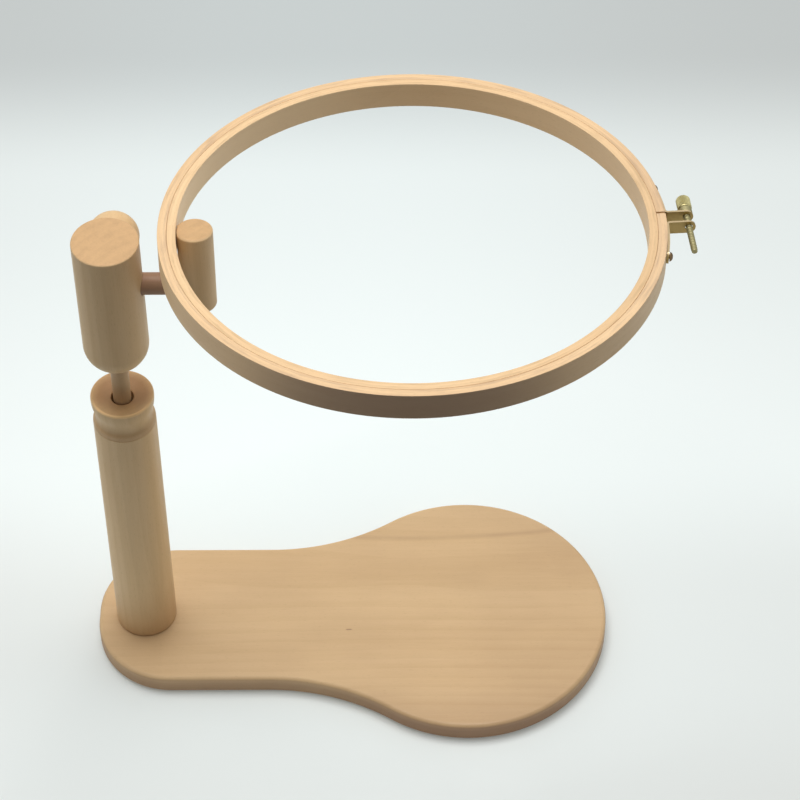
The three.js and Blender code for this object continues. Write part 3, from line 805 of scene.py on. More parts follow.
def ring_tree():
    """A hoop ring: a rounded section bent round a circle, split if it has a slit."""
    tree, nodes, given = new_tree(
        "hoop_ring",
        {
            "Bore": "Float",
            "Wall": "Float",
            "Height": "Float",
            "Edge": "Float",
            "Slit": "Float",
            "Material": "Material",
        },
    )
    radius = given["Bore"] + given["Wall"] * 0.5
    opening = given["Slit"] / radius
    whole = nodes.add(
        "GeometryNodeCurvePrimitiveCircle",
        {"mode": "RADIUS"},
        {"Resolution": RING_FACETS, "Radius": radius},
    )
    split = nodes.add(
        "GeometryNodeCurveArc",
        {"mode": "RADIUS"},
        {
            "Resolution": RING_FACETS,
            "Radius": radius,
            "Start Angle": opening * 0.5,
            "Sweep Angle": FULL_TURN - opening,
        },
    )
    is_split = opening.math("GREATER_THAN", opening, 0.0)
    line = nodes.add(
        "GeometryNodeSwitch",
        {"input_type": "GEOMETRY"},
        {"Switch": is_split, "False": whole, "True": split},
    )
    box = nodes.add(
        "GeometryNodeCurvePrimitiveQuadrilateral",
        {"mode": "RECTANGLE"},
        {"Width": given["Wall"], "Height": given["Height"]},
    )
    section = nodes.add(
        "GeometryNodeFilletCurve", {"mode": "POLY"}, {"Curve": box, "Count": 5, "Radius": given["Edge"]}
    )
    swept = nodes.add(
        "GeometryNodeCurveToMesh", {}, {"Curve": line, "Profile Curve": section, "Fill Caps": True}
    )
    close_tree(nodes, swept, given["Material"])
    return tree


def thread_tree():
    """A screw thread wound round a turned core."""
    tree, nodes, given = new_tree(
        "screw_thread",
        {
            "Core": "Object",
            "Radius": "Float",
            "Pitch": "Float",
            "Start": "Float",
            "Length": "Float",
            "Material": "Material",
        },
    )
    depth = given["Pitch"] * 0.5
    winding = nodes.add(
        "GeometryNodeCurveSpiral",
        {},
        {
            "Resolution": THREAD_FACETS,
            "Rotations": given["Length"] / given["Pitch"],
            "Start Radius": given["Radius"] - depth,
            "End Radius": given["Radius"] - depth,
            "Height": given["Length"],
        },
    )
    share = nodes.add("GeometryNodeSplineParameter", output="Factor")
    run_out = nodes.ease(share.math("MINIMUM", share, 1.0 - share), 0.0, 0.03)
    tooth = nodes.add(
        "GeometryNodeCurvePrimitiveCircle", {"mode": "RADIUS"}, {"Resolution": 4, "Radius": depth}
    )
    ridge = nodes.add(
        "GeometryNodeCurveToMesh",
        {},
        {"Curve": winding, "Profile Curve": tooth, "Scale": run_out * 0.98 + 0.02, "Fill Caps": True},
    )
    close_on_core(nodes, given, ridge, given["Start"])
    return tree


def knurl_tree():
    """Straight ridges set round a turned core."""
    tree, nodes, given = new_tree(
        "knurling",
        {
            "Core": "Object",
            "Radius": "Float",
            "Depth": "Float",
            "Start": "Float",
            "Length": "Float",
            "Ridges": "Int",
            "Material": "Material",
        },
    )
    foot = given["Radius"] - given["Depth"]
    spots = nodes.add("GeometryNodeMeshCircle", {}, {"Vertices": given["Ridges"], "Radius": foot})
    ridge = nodes.add(
        "GeometryNodeMeshCylinder", {}, {"Vertices": 4, "Radius": given["Depth"], "Depth": given["Length"]}
    )
    index = nodes.add("GeometryNodeInputIndex")
    turn = nodes.add("ShaderNodeCombineXYZ", {}, {2: index * FULL_TURN / given["Ridges"]})
    rows = nodes.add(
        "GeometryNodeInstanceOnPoints", {}, {"Points": spots, "Instance": ridge, "Rotation": turn}
    )
    close_on_core(nodes, given, rows, given["Start"] + given["Length"] * 0.5)
    return tree


def around_tree():
    """Copies of one piece, turned about the Z axis by even steps."""
    tree, nodes, given = new_tree(
        "set_around",
        {"Piece": "Object", "Count": "Int", "First": "Float", "Step": "Float", "Material": "Material"},
    )
    piece = nodes.add("GeometryNodeObjectInfo", {}, {"Object": given["Piece"]}, output="Geometry")
    spots = nodes.add("GeometryNodePoints", {}, {"Count": given["Count"]})
    index = nodes.add("GeometryNodeInputIndex")
    turn = nodes.add("ShaderNodeCombineXYZ", {}, {2: given["First"] + index * given["Step"]})
    copies = nodes.add(
        "GeometryNodeInstanceOnPoints", {}, {"Points": spots, "Instance": piece, "Rotation": turn}
    )
    close_tree(nodes, copies, given["Material"])
    return tree


# Pieces


def hoop_ring(name, sizes, place, bore, wall, slit, material):
    """One ring of the hoop, at its height above the arm rod."""
    values = {
        "Bore": bore,
        "Wall": wall,
        "Height": sizes.ring_height,
        "Edge": sizes.ring_edge,
        "Slit": slit,
        "Material": material,
    }
    middle = shifted(place, z=sizes.rod_to_ring + sizes.ring_height / 2)
    return face_out(grow(name, ring_tree(), values, middle))


def threaded(name, section, radius, pitch, low, high, material, place):
    """A turned core with a thread wound on it from one height to another."""
    core = turned("thread_core", section, Matrix(), METAL_FACETS)
    values = {
        "Core": core,
        "Radius": radius - pitch / 4,
        "Pitch": pitch,
        "Start": low,
        "Length": high - low,
        "Material": material,
    }
    piece = grow(name, thread_tree(), values, place)
    discard(core)
    return face_out(piece)


def beech_for(context, name, place, axis, *tints):
    """Beech for one piece, with its grain along an axis of its place."""
    finishes = context.scene.hoop_finishes
    return straight_grain(
        name, finishes.beech_light, finishes.beech_dark, finishes.end_grain, place, axis, *tints
    )


def wood_screw(name, radius, head_radius, length, place):
    """A countersunk wood screw along its own Z axis, head at zero, with a cross cut into its head."""
    cone = head_radius - radius
    section = [(0, 0), (head_radius, 0), (radius, cone), (radius, length - 2 * radius), (0, length)]
    screw = turned(name, section, place, METAL_FACETS)
    arm, half = head_radius * CROSS_ARM, head_radius * CROSS_HALF
    cross = [(-arm, -half), (arm, -half), (arm, half), (-arm, half)]
    cutters = [
        prism("cross", cross, -cone, cone * CROSS_DEPTH, place @ Matrix.Rotation(turn, 4, "Z"))
        for turn in (0, QUARTER)
    ]
    return carve(screw, *cutters)


class HOOPSTAND_OT_base(bpy.types.Operator):
    """Paddle-shaped base board with rounded edges, drilled for the post's screw"""

    bl_idname = "hoop_stand.base"
    bl_label = "Base board"

    def outline(self, sizes):
        """Points of the paddle with their outward directions, anticlockwise."""
        corner_x = sizes.end_corner - sizes.length / 2
        corner_y = sizes.end_half_width - sizes.end_corner
        disc_x = sizes.length / 2 + sizes.disc_past - sizes.disc_radius
        neck_y = sizes.end_half_width + sizes.neck_radius
        neck_x = disc_x - math.sqrt((sizes.neck_radius + sizes.disc_radius) ** 2 - neck_y**2)
        lean = math.atan2(neck_y, disc_x - neck_x)
        arcs = [
            ((neck_x, -neck_y), sizes.neck_radius, QUARTER, lean, NECK_STEPS, -1),
            ((disc_x, 0), sizes.disc_radius, lean - math.pi, math.pi - lean, DISC_STEPS, 1),
            ((neck_x, neck_y), sizes.neck_radius, -lean, -QUARTER, NECK_STEPS, -1),
            ((corner_x, corner_y), sizes.end_corner, QUARTER, math.pi, CORNER_STEPS, 1),
            ((corner_x, -corner_y), sizes.end_corner, math.pi, 3 * QUARTER, CORNER_STEPS, 1),
        ]
        points = []
        for centre, radius, start, end, steps, side in arcs:
            for x, y in arc(centre, radius, start, end, steps):
                out = side * (Vector((x, y)) - Vector(centre)) / radius
                if not points or (Vector((x, y)) - points[-1][0]).length > TINY * 10:
                    points.append((Vector((x, y)), out))
        return points

    def figure_and_painted_shade(self, nodes, object_at):
        """Where the board is stained, and where shade is painted on it.

        A darker streak crosses the disc, with clouds and one short mark on its face, and painted shade at
        both ends and along the near rim.
        The sawn edge round it is darker, partly its own tone and partly painted shade, with faint layers,
        painted shade on its front, and darker towards its bottom.
        """
        flat = nodes.vector("MULTIPLY", object_at, (1, 1, 0))
        normal = object_at.out("Normal")
        x = nodes.dot(object_at, (1, 0, 0))
        y = nodes.dot(object_at, (0, 1, 0))
        height = nodes.dot(object_at, (0, 0, 1))
        clouds = nodes.noise(flat, BOARD_CLOUDS, 3.0)
        off_line = y - STREAK_Y - (x - STREAK_X) ** 2.0 * STREAK_BOW + (clouds - 0.5) * STREAK_HALF
        streak = 1.0 - nodes.ease(abs(off_line), 0.0, STREAK_HALF)
        streak = streak * (0.04 + nodes.noise(flat, STREAK_BREAKS) * 0.36)
        beyond = nodes.ease(off_line, -0.001, STREAK_HALF) * 0.05
        mark = (1.0 - nodes.ease(abs(x - MARK_X), 0.0008, 0.0024)) * 0.7
        mark = mark * (1.0 - nodes.ease(abs(y - MARK_Y), 0.0002, 0.0007))
        # Painted shade at both ends of the board.
        ends = nodes.ease(x, 0.05, 0.14) * 0.12 + nodes.ease(0.0 - x, 0.09, 0.15) * 0.04
        # Painted shade along the near rim.
        near = nodes.ease(0.0 - y, 0.0, 0.07) * 0.08 + nodes.ease(0.0 - y, 0.045, 0.085) * 0.2
        face = 0.04 + nodes.ease(clouds, 0.3, 0.7) * 0.1 + ends + near
        # The sawn edge is darker, partly its own tone and partly painted shade.
        side = 1.0 - nodes.ease(abs(nodes.dot(normal, (0, 0, 1))), 0.25, 0.8)
        layers = nodes.noise(object_at, SAWN_LAYERS)
        # Darker towards the bottom of the sawn edge.
        lower = (1.0 - nodes.ease(height, 0.006, 0.0115)) * 0.26
        lower = lower + (1.0 - nodes.ease(height, 0.001, 0.005)) * 0.12
        # Painted shade on the front of the sawn edge.
        front = nodes.ease(nodes.dot(normal, (0, -1, 0)), 0.6, 0.98)
        front = front * (0.07 + nodes.ease(x, -0.02, 0.06) * 0.07)
        return streak + beyond + mark + face + side * (0.17 + layers * 0.2 + lower + front)

    def execute(self, context):
        sizes = context.scene.hoop_base
        outline = self.outline(sizes)
        top = sizes.thickness - sizes.edge
        profile = arc((sizes.edge, sizes.edge), sizes.edge, 3 * QUARTER, 2 * QUARTER, 6)
        profile += arc((sizes.edge, top), sizes.edge, 2 * QUARTER, QUARTER, 6)
        shape = bmesh.new()
        rings = []
        for inset, height in profile:
            rings.append([shape.verts.new((*(p - out * inset), height)) for p, out in outline])
        for low, high in zip(rings, rings[1:]):
            for k in range(len(outline)):
                n = (k + 1) % len(outline)
                shape.faces.new((low[k], low[n], high[n], high[k]))
        shape.faces.new(reversed(rings[0]))
        shape.faces.new(rings[-1])
        board = link("base_panel", shape, Matrix.Translation((0, 0, BASE_LOW.z)))
        low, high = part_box("post_screw")
        gap = context.scene.hoop_post.clearance
        head = (high.x - low.x) / 2 + gap
        shank = head / 2 + gap
        bore = countersink(head, shank, gap, gap + head - shank, 2 * sizes.thickness)
        place = shifted(POST_AXIS, z=low.z)
        carve(board, turned("bore", bore, place, METAL_FACETS))
        stain_and_painted_shade = (self.figure_and_painted_shade, context.scene.hoop_finishes.stain)
        finish = beech_for(context, "beech_board", Matrix(), "X", stain_and_painted_shade)
        dress(board, "stand", "beech", finish, "base_board")
        screw = wood_screw("post_fixing_screw", head / 2, head - gap, high.z - low.z, place)
        steel = metal("steel_screw", context.scene.hoop_finishes.steel, roughness=0.38, tarnish=0.2)
        dress(screw, "stand", "steel", steel, "post_screw")
        return {"FINISHED"}


class HOOPSTAND_OT_post(bpy.types.Operator):
    """Turned post with its collar, cove and fine groove, and the stem that slides in it"""

    bl_idname = "hoop_stand.post"
    bl_label = "Post and stem"

    def from_axis(self, nodes, object_at):
        """How far a point is from the post's axis."""
        offset = nodes.vector("SUBTRACT", object_at, (PIVOT.x, 0, 0))
        flat = nodes.vector("MULTIPLY", offset, (1, 1, 0))
        return nodes.add("ShaderNodeVectorMath", {"operation": "LENGTH"}, {0: flat}, output="Value")

    def painted_shade(self, nodes, object_at):
        """Painted light and shade: warm bounce light from the board on the foot, and painted shade on the
        shoulder under the collar and inside the hollow top under the barrel, stronger at the back.
        """
        height = nodes.dot(object_at, (0, 0, 1))
        # Painted warm bounce light from the board on the foot.
        foot = 1.0 - nodes.ease(height, POST_LOW.z, POST_LOW.z + FOOT_PAINTED_BOUNCE)
        # Painted shade on the shoulder under the collar.
        shoulder = nodes.ease(height, self.groove, self.groove + 0.0002)
        shoulder = shoulder * (1.0 - nodes.ease(height, self.groove, self.cove + 0.004))
        # Painted shade inside the hollow top under the barrel, stronger at the back.
        facing = nodes.ease(nodes.dot(object_at.out("Normal"), (0, 0, 1)), 0.6, 0.9)
        hollow = facing * (1.0 - nodes.ease(self.from_axis(nodes, object_at), self.rim - 0.004, self.rim))
        behind = nodes.ease(nodes.dot(object_at, (0, 1, 0)), -0.013, 0.0)
        return foot * 0.34 + shoulder * 0.4 + hollow * (0.1 + behind * 0.5)

    def painted_light(self, nodes, object_at):
        """Painted light round the rim and on the near side of the hollow top."""
        # Painted light on the rim and the near side of the hollow top.
        high = nodes.ease(nodes.dot(object_at, (0, 0, 1)), POST_HIGH.z - 0.0016, POST_HIGH.z - 0.0004)
        rim = nodes.ease(self.from_axis(nodes, object_at), self.rim - 0.0012, self.rim)
        near = 1.0 - nodes.ease(nodes.dot(object_at, (0, 1, 0)), -0.014, -0.003)
        facing = nodes.ease(nodes.dot(object_at.out("Normal"), (0, 0, 1)), 0.6, 0.9)
        return high * rim * (0.1 + near * 0.8) + facing * near * 0.25

    def stem_painted_shade(self, nodes, object_at):
        """Painted shade over the whole stem, in random patches."""
        # Painted shade, in random patches.
        return 0.3 + nodes.noise(object_at, SHADE_PATCHES) * 0.25

    def execute(self, context):
        sizes = context.scene.hoop_post
        foot, top = POST_LOW.z, POST_HIGH.z
        cove = top - sizes.collar_height
        groove = cove - sizes.shoulder
        lip = top - sizes.lip_height
        collar, neck = sizes.collar_radius, sizes.neck_radius
        waist = collar - sizes.cove_depth
        rim = collar - sizes.lip_edge
        self.groove, self.cove, self.rim = groove, cove, rim
        bore = sizes.stem_radius + sizes.clearance
        dish = top - sizes.dish_depth
        floor = dish - sizes.mouth_depth
        low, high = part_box("post_screw")
        pilot = (high.x - low.x) / 4 + sizes.clearance
        pilot_top = high.z + sizes.clearance
        section = [(0, pilot_top), (pilot, pilot_top - 2 * pilot), (pilot, foot)]
        section += rounded(
            [
                (pilot, foot),
                (sizes.foot_radius, foot, sizes.foot_edge),
                (neck, groove - sizes.groove_depth, sizes.neck_edge),
                (neck - sizes.groove_depth, groove),
            ]
        )[1:]
        turn_in, ease = groove + sizes.shoulder_turn * sizes.shoulder, sizes.shoulder_ease
        section.append((neck, groove + sizes.groove_depth))
        section += curve(section[-1], (neck, turn_in - ease), ((neck + waist) / 2, turn_in), 6)[1:]
        section += curve(section[-1], (waist, turn_in + ease), (waist, cove), 6)[1:]
        flare, half_way = (lip - cove) / 4, ((waist + collar) / 2, (cove + lip) / 2)
        section += curve(section[-1], (waist, cove + flare), half_way, 6)[1:]
        section += curve(section[-1], (collar, lip - flare), (collar, lip), 6)[1:]
        section += arc((rim, top - sizes.lip_edge), sizes.lip_edge, 0, QUARTER, 5)
        hollow = curve(section[-1], ((rim + sizes.stem_radius) / 2, dish), (sizes.stem_radius, dish), 24)
        section += [point for point in hollow[1:] if point[0] > sizes.mouth_radius]
        section += [
            (sizes.mouth_radius, dish),
            (sizes.mouth_radius, floor),
            (bore, floor),
            (bore, top - sizes.bore_depth),
            (0, top - sizes.bore_depth),
        ]
        post = turned("turned_post", section, POST_AXIS)
        finishes = context.scene.hoop_finishes
        tints = ((self.painted_shade, finishes.warm_painted_shade), (self.painted_light, finishes.painted_light))
        dress(post, "stand", "beech", beech_for(context, "beech_post", POST_AXIS, "Z", *tints), "post")
        section = dowel(sizes.stem_radius, STEM_LOW.z, STEM_HIGH.z, sizes.stem_edge)
        stem = turned("sliding_stem", section, POST_AXIS, METAL_FACETS)
        other_grain = shifted(POST_AXIS, *STEM_GRAIN)
        finish = beech_for(context, "beech_stem", other_grain, "Z", (self.stem_painted_shade, finishes.stain))
        dress(stem, "stem", "beech", finish, "stem_dowel")
        return {"FINISHED"}


class HOOPSTAND_OT_head(bpy.types.Operator):
    """Clamp barrel, its threaded insert, and the ball knob on its threaded stud"""

    bl_idname = "hoop_stand.head"
    bl_label = "Clamp head"

    def barrel(self, context):
        """The barrel, bored for the stem, the rod, the insert and the stud."""
        sizes = context.scene.hoop_head
        gap = context.scene.hoop_post.clearance
        bore = context.scene.hoop_post.stem_radius + gap
        rod = context.scene.hoop_arm.rod_radius + gap
        bottom, top = self.bottom, BARREL_HIGH.z + sizes.barrel_rise - PIVOT.z
        centre = (sizes.barrel_radius - sizes.dome, bottom + sizes.dome)
        start = -math.acos((bore - centre[0]) / sizes.dome)
        stem_top = bottom + sizes.stem_depth + gap
        section = [(0, stem_top), (bore, stem_top)]
        section += arc(centre, sizes.dome, start, 0, 16)
        section += rounded([section[-1], (sizes.barrel_radius, top, sizes.top_edge), (0, top)])[1:]
        barrel = turned("clamp_block", section, HEAD, BARREL_FACETS)
        reach = 2 * sizes.barrel_radius
        past = context.scene.hoop_arm.rod_past_axis + gap
        insert = sizes.insert_radius + gap
        carve(
            barrel,
            turned("rod_bore", bar(rod, -past, reach), HEAD @ TO_X),
            turned("insert_bore", bar(insert, self.insert_low - gap, reach), HEAD @ TO_Y),
            turned("stud_bore", bar(sizes.stud_radius + gap, 0, self.insert_low), HEAD @ TO_Y),
        )
        dress(barrel, "head", "beech", beech_for(context, "beech_barrel", HEAD, "Z"), "clamp_barrel")

    def knob(self, context):
        """The ball knob on its neck, bored for the stud."""
        sizes = context.scene.hoop_head
        gap = context.scene.hoop_post.clearance
        bore = sizes.stud_radius + gap
        bore_end = self.knob_start + sizes.stud_in_knob + gap
        neck_turn = math.acos(sizes.knob_neck / sizes.knob_radius)
        neck_end = self.knob_start + sizes.knob_neck_length
        middle = neck_end + sizes.knob_half * math.sin(neck_turn)
        flatten = sizes.knob_half / sizes.knob_radius
        section = [(0, bore_end), (bore, bore_end)]
        section += rounded(
            [
                (bore, bore_end),
                (bore, self.knob_start, sizes.knob_mouth_edge),
                (sizes.knob_neck, self.knob_start, sizes.knob_neck_edge),
                (sizes.knob_neck, neck_end),
            ]
        )[1:]
        section += arc((0, middle), sizes.knob_radius, -neck_turn, QUARTER, 24, flatten)[1:]
        section[-1] = (0, section[-1][1])
        knob = turned("ball_knob", section, HEAD @ TO_Y)
        other_grain = shifted(HEAD, *KNOB_GRAIN)
        finish = beech_for(context, "beech_knob", other_grain, "Y")
        dress(knob, "knob", "beech", finish, "clamp_knob")

    def execute(self, context):
        sizes = context.scene.hoop_head
        finishes = context.scene.hoop_finishes
        gap = context.scene.hoop_post.clearance
        self.bottom = STEM_HIGH.z - sizes.stem_depth - PIVOT.z
        insert_high = sizes.barrel_radius - sizes.insert_recess
        self.insert_low = insert_high - sizes.insert_length
        self.knob_start = sizes.barrel_radius + sizes.knob_standoff
        self.barrel(context)
        self.knob(context)
        bore, edge = sizes.stud_radius + gap, sizes.insert_edge
        tube = rounded(
            [
                (bore, self.insert_low),
                (sizes.insert_radius, self.insert_low),
                (sizes.insert_radius, insert_high, edge),
                (bore, insert_high, edge),
            ]
        )
        insert = turned("brass_insert", tube, HEAD @ TO_Y, METAL_FACETS)
        brass = metal("brass_insert", finishes.brass, roughness=0.36, tarnish=0.35)
        dress(insert, "head", "brass", brass, "threaded_insert")
        start = context.scene.hoop_arm.rod_radius + gap
        end = self.knob_start + sizes.stud_in_knob
        steel = metal("steel_stud", finishes.steel, roughness=0.34, tarnish=0.2)
        radius, pitch = sizes.stud_radius, sizes.stud_pitch
        core = bar(radius - pitch / 2, start, end)
        stud = threaded(
            "threaded_stud", core, radius, pitch, start + pitch, end - pitch, steel, HEAD @ TO_Y
        )
        dress(stud, "stud", "steel", steel, "clamp_stud")
        return {"FINISHED"}


class HOOPSTAND_OT_arm(bpy.types.Operator):
    """Arm rod, the block on its end and the inner ring that the block carries"""

    bl_idname = "hoop_stand.arm"
    bl_label = "Arm"

    def execute(self, context):
        sizes = context.scene.hoop_arm
        finishes = context.scene.hoop_finishes
        gap = context.scene.hoop_post.clearance
        low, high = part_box("ring_screw")
        hoop_x = HOOP.translation.x - PIVOT.x
        block_x = hoop_x - sizes.inner_bore + sizes.block_radius - sizes.block_seat
        rod_end = block_x + sizes.rod_radius
        section = dowel(sizes.rod_radius, -sizes.rod_past_axis, rod_end, sizes.rod_edge)
        rod = turned("reach_rod", section, ARM @ TO_X, METAL_FACETS)
        dark = straight_grain(
            "dark_dowel", finishes.dowel_light, finishes.dowel_dark, finishes.dowel_dark, ARM, "X"
        )
        dress(rod, "arm", "dark_dowel", dark, "arm_rod")

        block_low = -sizes.block_below_rod
        block_high = sizes.rod_to_ring + sizes.ring_height - sizes.block_below_ring
        place = shifted(ARM, block_x)
        section = dowel(sizes.block_radius, block_low, block_high, sizes.block_edge)
        block = turned("hoop_post_block", section, place)
        overrun = sizes.block_radius
        seat = [
            (sizes.inner_bore - gap, block_low - overrun),
            (sizes.inner_bore + 2 * overrun, block_low - overrun),
            (sizes.inner_bore + 2 * overrun, block_high + overrun),
            (sizes.inner_bore - gap, block_high + overrun),
        ]
        screw_z = (sizes.rod_to_ring + block_high) / 2
        screw_at = shifted(ARM, low.x - PIVOT.x, 0, screw_z) @ TO_X
        head = (high.z - low.z) / 2
        shank = head / 2
        length = high.x - low.x
        carve(
            block,
            turned("rod_bore", bar(sizes.rod_radius + gap, 0, rod_end + gap), ARM @ TO_X),
            turned("ring_seat", seat, HOOP, RING_FACETS),
            turned("screw_bore", bar(shank + gap, 0, length + gap), screw_at, METAL_FACETS),
        )
        finish = beech_for(context, "beech_block", place, "Z")
        dress(block, "arm", "beech", finish, "hoop_block")
        screw = wood_screw("ring_fixing_screw", shank, head, length, screw_at)
        steel = metal("steel_ring_screw", finishes.steel, roughness=0.38, tarnish=0.2)
        dress(screw, "arm", "steel", steel, "ring_screw")
        self.ring(context, head + gap, shank + gap, screw_at)
        return {"FINISHED"}

    def ring(self, context, head, shank, screw_at):
        """The inner ring, countersunk for its screw."""
        sizes = context.scene.hoop_arm
        finishes = context.scene.hoop_finishes
        material = round_grain(
            "inner_plies",
            finishes.ring_light,
            finishes.ring_dark,
            HOOP,
            sizes.inner_bore,
            sizes.inner_wall,
            1.0,
            painted_light_side=finishes.ring_painted_light,
        )
        ring = hoop_ring(
            "inner_hoop_ring", sizes, HOOP, sizes.inner_bore, sizes.inner_wall, 0.0, material
        )
        bore = countersink(head, shank, context.scene.hoop_post.clearance, head - shank, 3 * head)
        carve(ring, turned("countersink", bore, screw_at, METAL_FACETS))
        dress(ring, "arm", "ring_beech", material, "inner_ring")


class HOOPSTAND_OT_outer_ring(bpy.types.Operator):
    """Split outer ring with its brass straps and rivets"""

    bl_idname = "hoop_stand.outer_ring"
    bl_label = "Outer ring"

    def strap_plan(self, brass, wall, side):
        """Plan of a strap: along the ring, then bent out into its lug."""
        inside = wall + brass.strap_gap
        outside = inside + brass.strap_thickness
        near = (brass.lug_spacing - brass.strap_thickness) / 2
        far = near + brass.strap_thickness
        bend = outside + brass.strap_bend
        tip = wall + brass.lug_reach
        inside_turn = math.asin((far + brass.strap_bend) / inside)
        outside_turn = math.asin((far + brass.strap_bend) / outside)
        end = self.strap_end
        plan = arc((0, 0), inside, end, inside_turn, 24)
        plan += curve(plan[-1], (inside, near), (bend, near))[1:]
        plan += [(tip, near), (tip, far)]
        out = (outside * math.cos(outside_turn), outside * math.sin(outside_turn))
        plan += curve((bend, far), (outside, far), out)
        plan += arc((0, 0), outside, outside_turn, end, 24)[1:]
        return [(x, -y) for x, y in plan] if side < 0 else plan[::-1]

    def end_corners(self, brass, side):
        """What is cut off to round a strap's end, seen along its rivet."""
        radius = brass.strap_height / 2 + brass.strap_end_ease
        centre = brass.rivet_from_end - radius
        beyond, out = brass.rivet_from_end + radius, 2 * radius
        outline = arc((0, centre), radius, math.pi, 0, 24)
        outline += [(out, centre), (out, beyond), (-out, beyond), (-out, centre)]
        return outline if side > 0 else [(x, -y) for x, y in outline[::-1]]

    def strap(self, context, side):
        """One strap, on the far side of the slit or on the near one."""
        brass = context.scene.hoop_brass
        gap = context.scene.hoop_post.clearance
        name = "far_brass_strap" if side > 0 else "near_brass_strap"
        half = brass.strap_height / 2
        wall = self.wall
        strap = prism(name, self.strap_plan(brass, wall, side), -half, half, SCREW_LEVEL)
        tip = wall + brass.lug_reach
        outline = [(0, -2 * half), (tip - half, -2 * half)]
        outline += arc((tip - half, 0), half, -QUARTER, QUARTER, 24)
        outline += [(tip - half, 2 * half), (0, 2 * half)]
        upright = SCREW_LEVEL @ Matrix.Rotation(QUARTER, 4, "X")
        carve(strap, prism("lug_end", outline, -wall, wall, upright), operation="INTERSECT")
        hole = bar(brass.screw_radius + brass.lug_clearance, -brass.lug_spacing, brass.lug_spacing)
        rivet_hole = bar(brass.rivet_radius + gap, wall - brass.rivet_grip, tip)
        rivet_way = SCREW_LEVEL @ Matrix.Rotation(side * self.rivet_angle, 4, "Z") @ TO_X
        carve(
            strap,
            turned("screw_hole", hole, shifted(SCREW_LEVEL, SCREW_LINE.x) @ TO_Y, METAL_FACETS),
            turned("rivet_hole", rivet_hole, rivet_way, METAL_FACETS),
            prism("end_corners", self.end_corners(brass, side), wall - brass.rivet_grip, tip, rivet_way),
        )
        soften(strap, brass.strap_edge)
        node = "far_strap" if side > 0 else "near_strap"
        dress(strap, "outer_hoop", "brass", self.brass, node)

    def rivets(self, context):
        """Both rivets: one turned pin, set twice round the ring."""
        brass = context.scene.hoop_brass
        gap = context.scene.hoop_post.clearance
        seat = self.wall + brass.strap_gap + brass.strap_thickness + gap
        start = self.wall - brass.rivet_grip
        flatten = brass.rivet_rise / brass.rivet_head
        section = [(0, start), (brass.rivet_radius, start), (brass.rivet_radius, seat)]
        section += arc((0, seat), brass.rivet_head, 0, QUARTER, 10, flatten)
        section[-1] = (0, section[-1][1])
        pin = turned("rivet_pin", section, TO_X, RIVET_FACETS)
        finishes = context.scene.hoop_finishes
        # Darker brass for the rivets, with cloudy tarnish.
        material = metal("tarnished_brass", finishes.dark_brass, roughness=0.42, tarnish=0.5)
        rivets = grow(
            "brass_rivets",
            around_tree(),
            {
                "Piece": pin,
                "Count": 2,
                "First": -self.rivet_angle,
                "Step": 2 * self.rivet_angle,
                "Material": material,
            },
            SCREW_LEVEL,
        )
        discard(pin)
        dress(face_out(rivets), "outer_hoop", "dark_brass", material, "far_rivet", "near_rivet")

    def execute(self, context):
        sizes = context.scene.hoop_arm
        brass = context.scene.hoop_brass
        finishes = context.scene.hoop_finishes
        gap = context.scene.hoop_post.clearance
        self.wall = sizes.outer_bore + sizes.outer_wall
        self.strap_end = (brass.lug_spacing / 2 + brass.strap_length) / self.wall
        self.rivet_angle = self.strap_end - brass.rivet_from_end / self.wall
        # The straps' brass is darkened as painted shade, with painted light on upward faces.
        self.brass = metal(
            "brass_strap",
            finishes.shaded_strap_brass,
            roughness=0.42,
            tarnish=0.35,
            painted_light=finishes.brass_painted_light,
        )
        material = round_grain(
            "outer_plies",
            finishes.ring_light,
            finishes.ring_dark,
            SPLIT_HOOP,
            sizes.outer_bore,
            sizes.outer_wall,
            -1.0,
            dull=finishes.ring_painted_shade,
        )
        ring = hoop_ring(
            "outer_hoop_ring", sizes, SPLIT_HOOP, sizes.outer_bore, sizes.outer_wall, sizes.slit, material
        )
        deep, out = self.wall - brass.rivet_grip - gap, self.wall + brass.lug_reach
        hole = bar(brass.rivet_radius + gap, deep, out)
        cutters = [
            turned("rivet_hole", hole, SCREW_LEVEL @ Matrix.Rotation(turn, 4, "Z") @ TO_X, METAL_FACETS)
            for turn in (-self.rivet_angle, self.rivet_angle)
        ]
        carve(ring, *cutters)
        dress(ring, "outer_hoop", "ring_beech", material, "outer_ring")
        self.strap(context, 1)
        self.strap(context, -1)
        self.rivets(context)
        return {"FINISHED"}


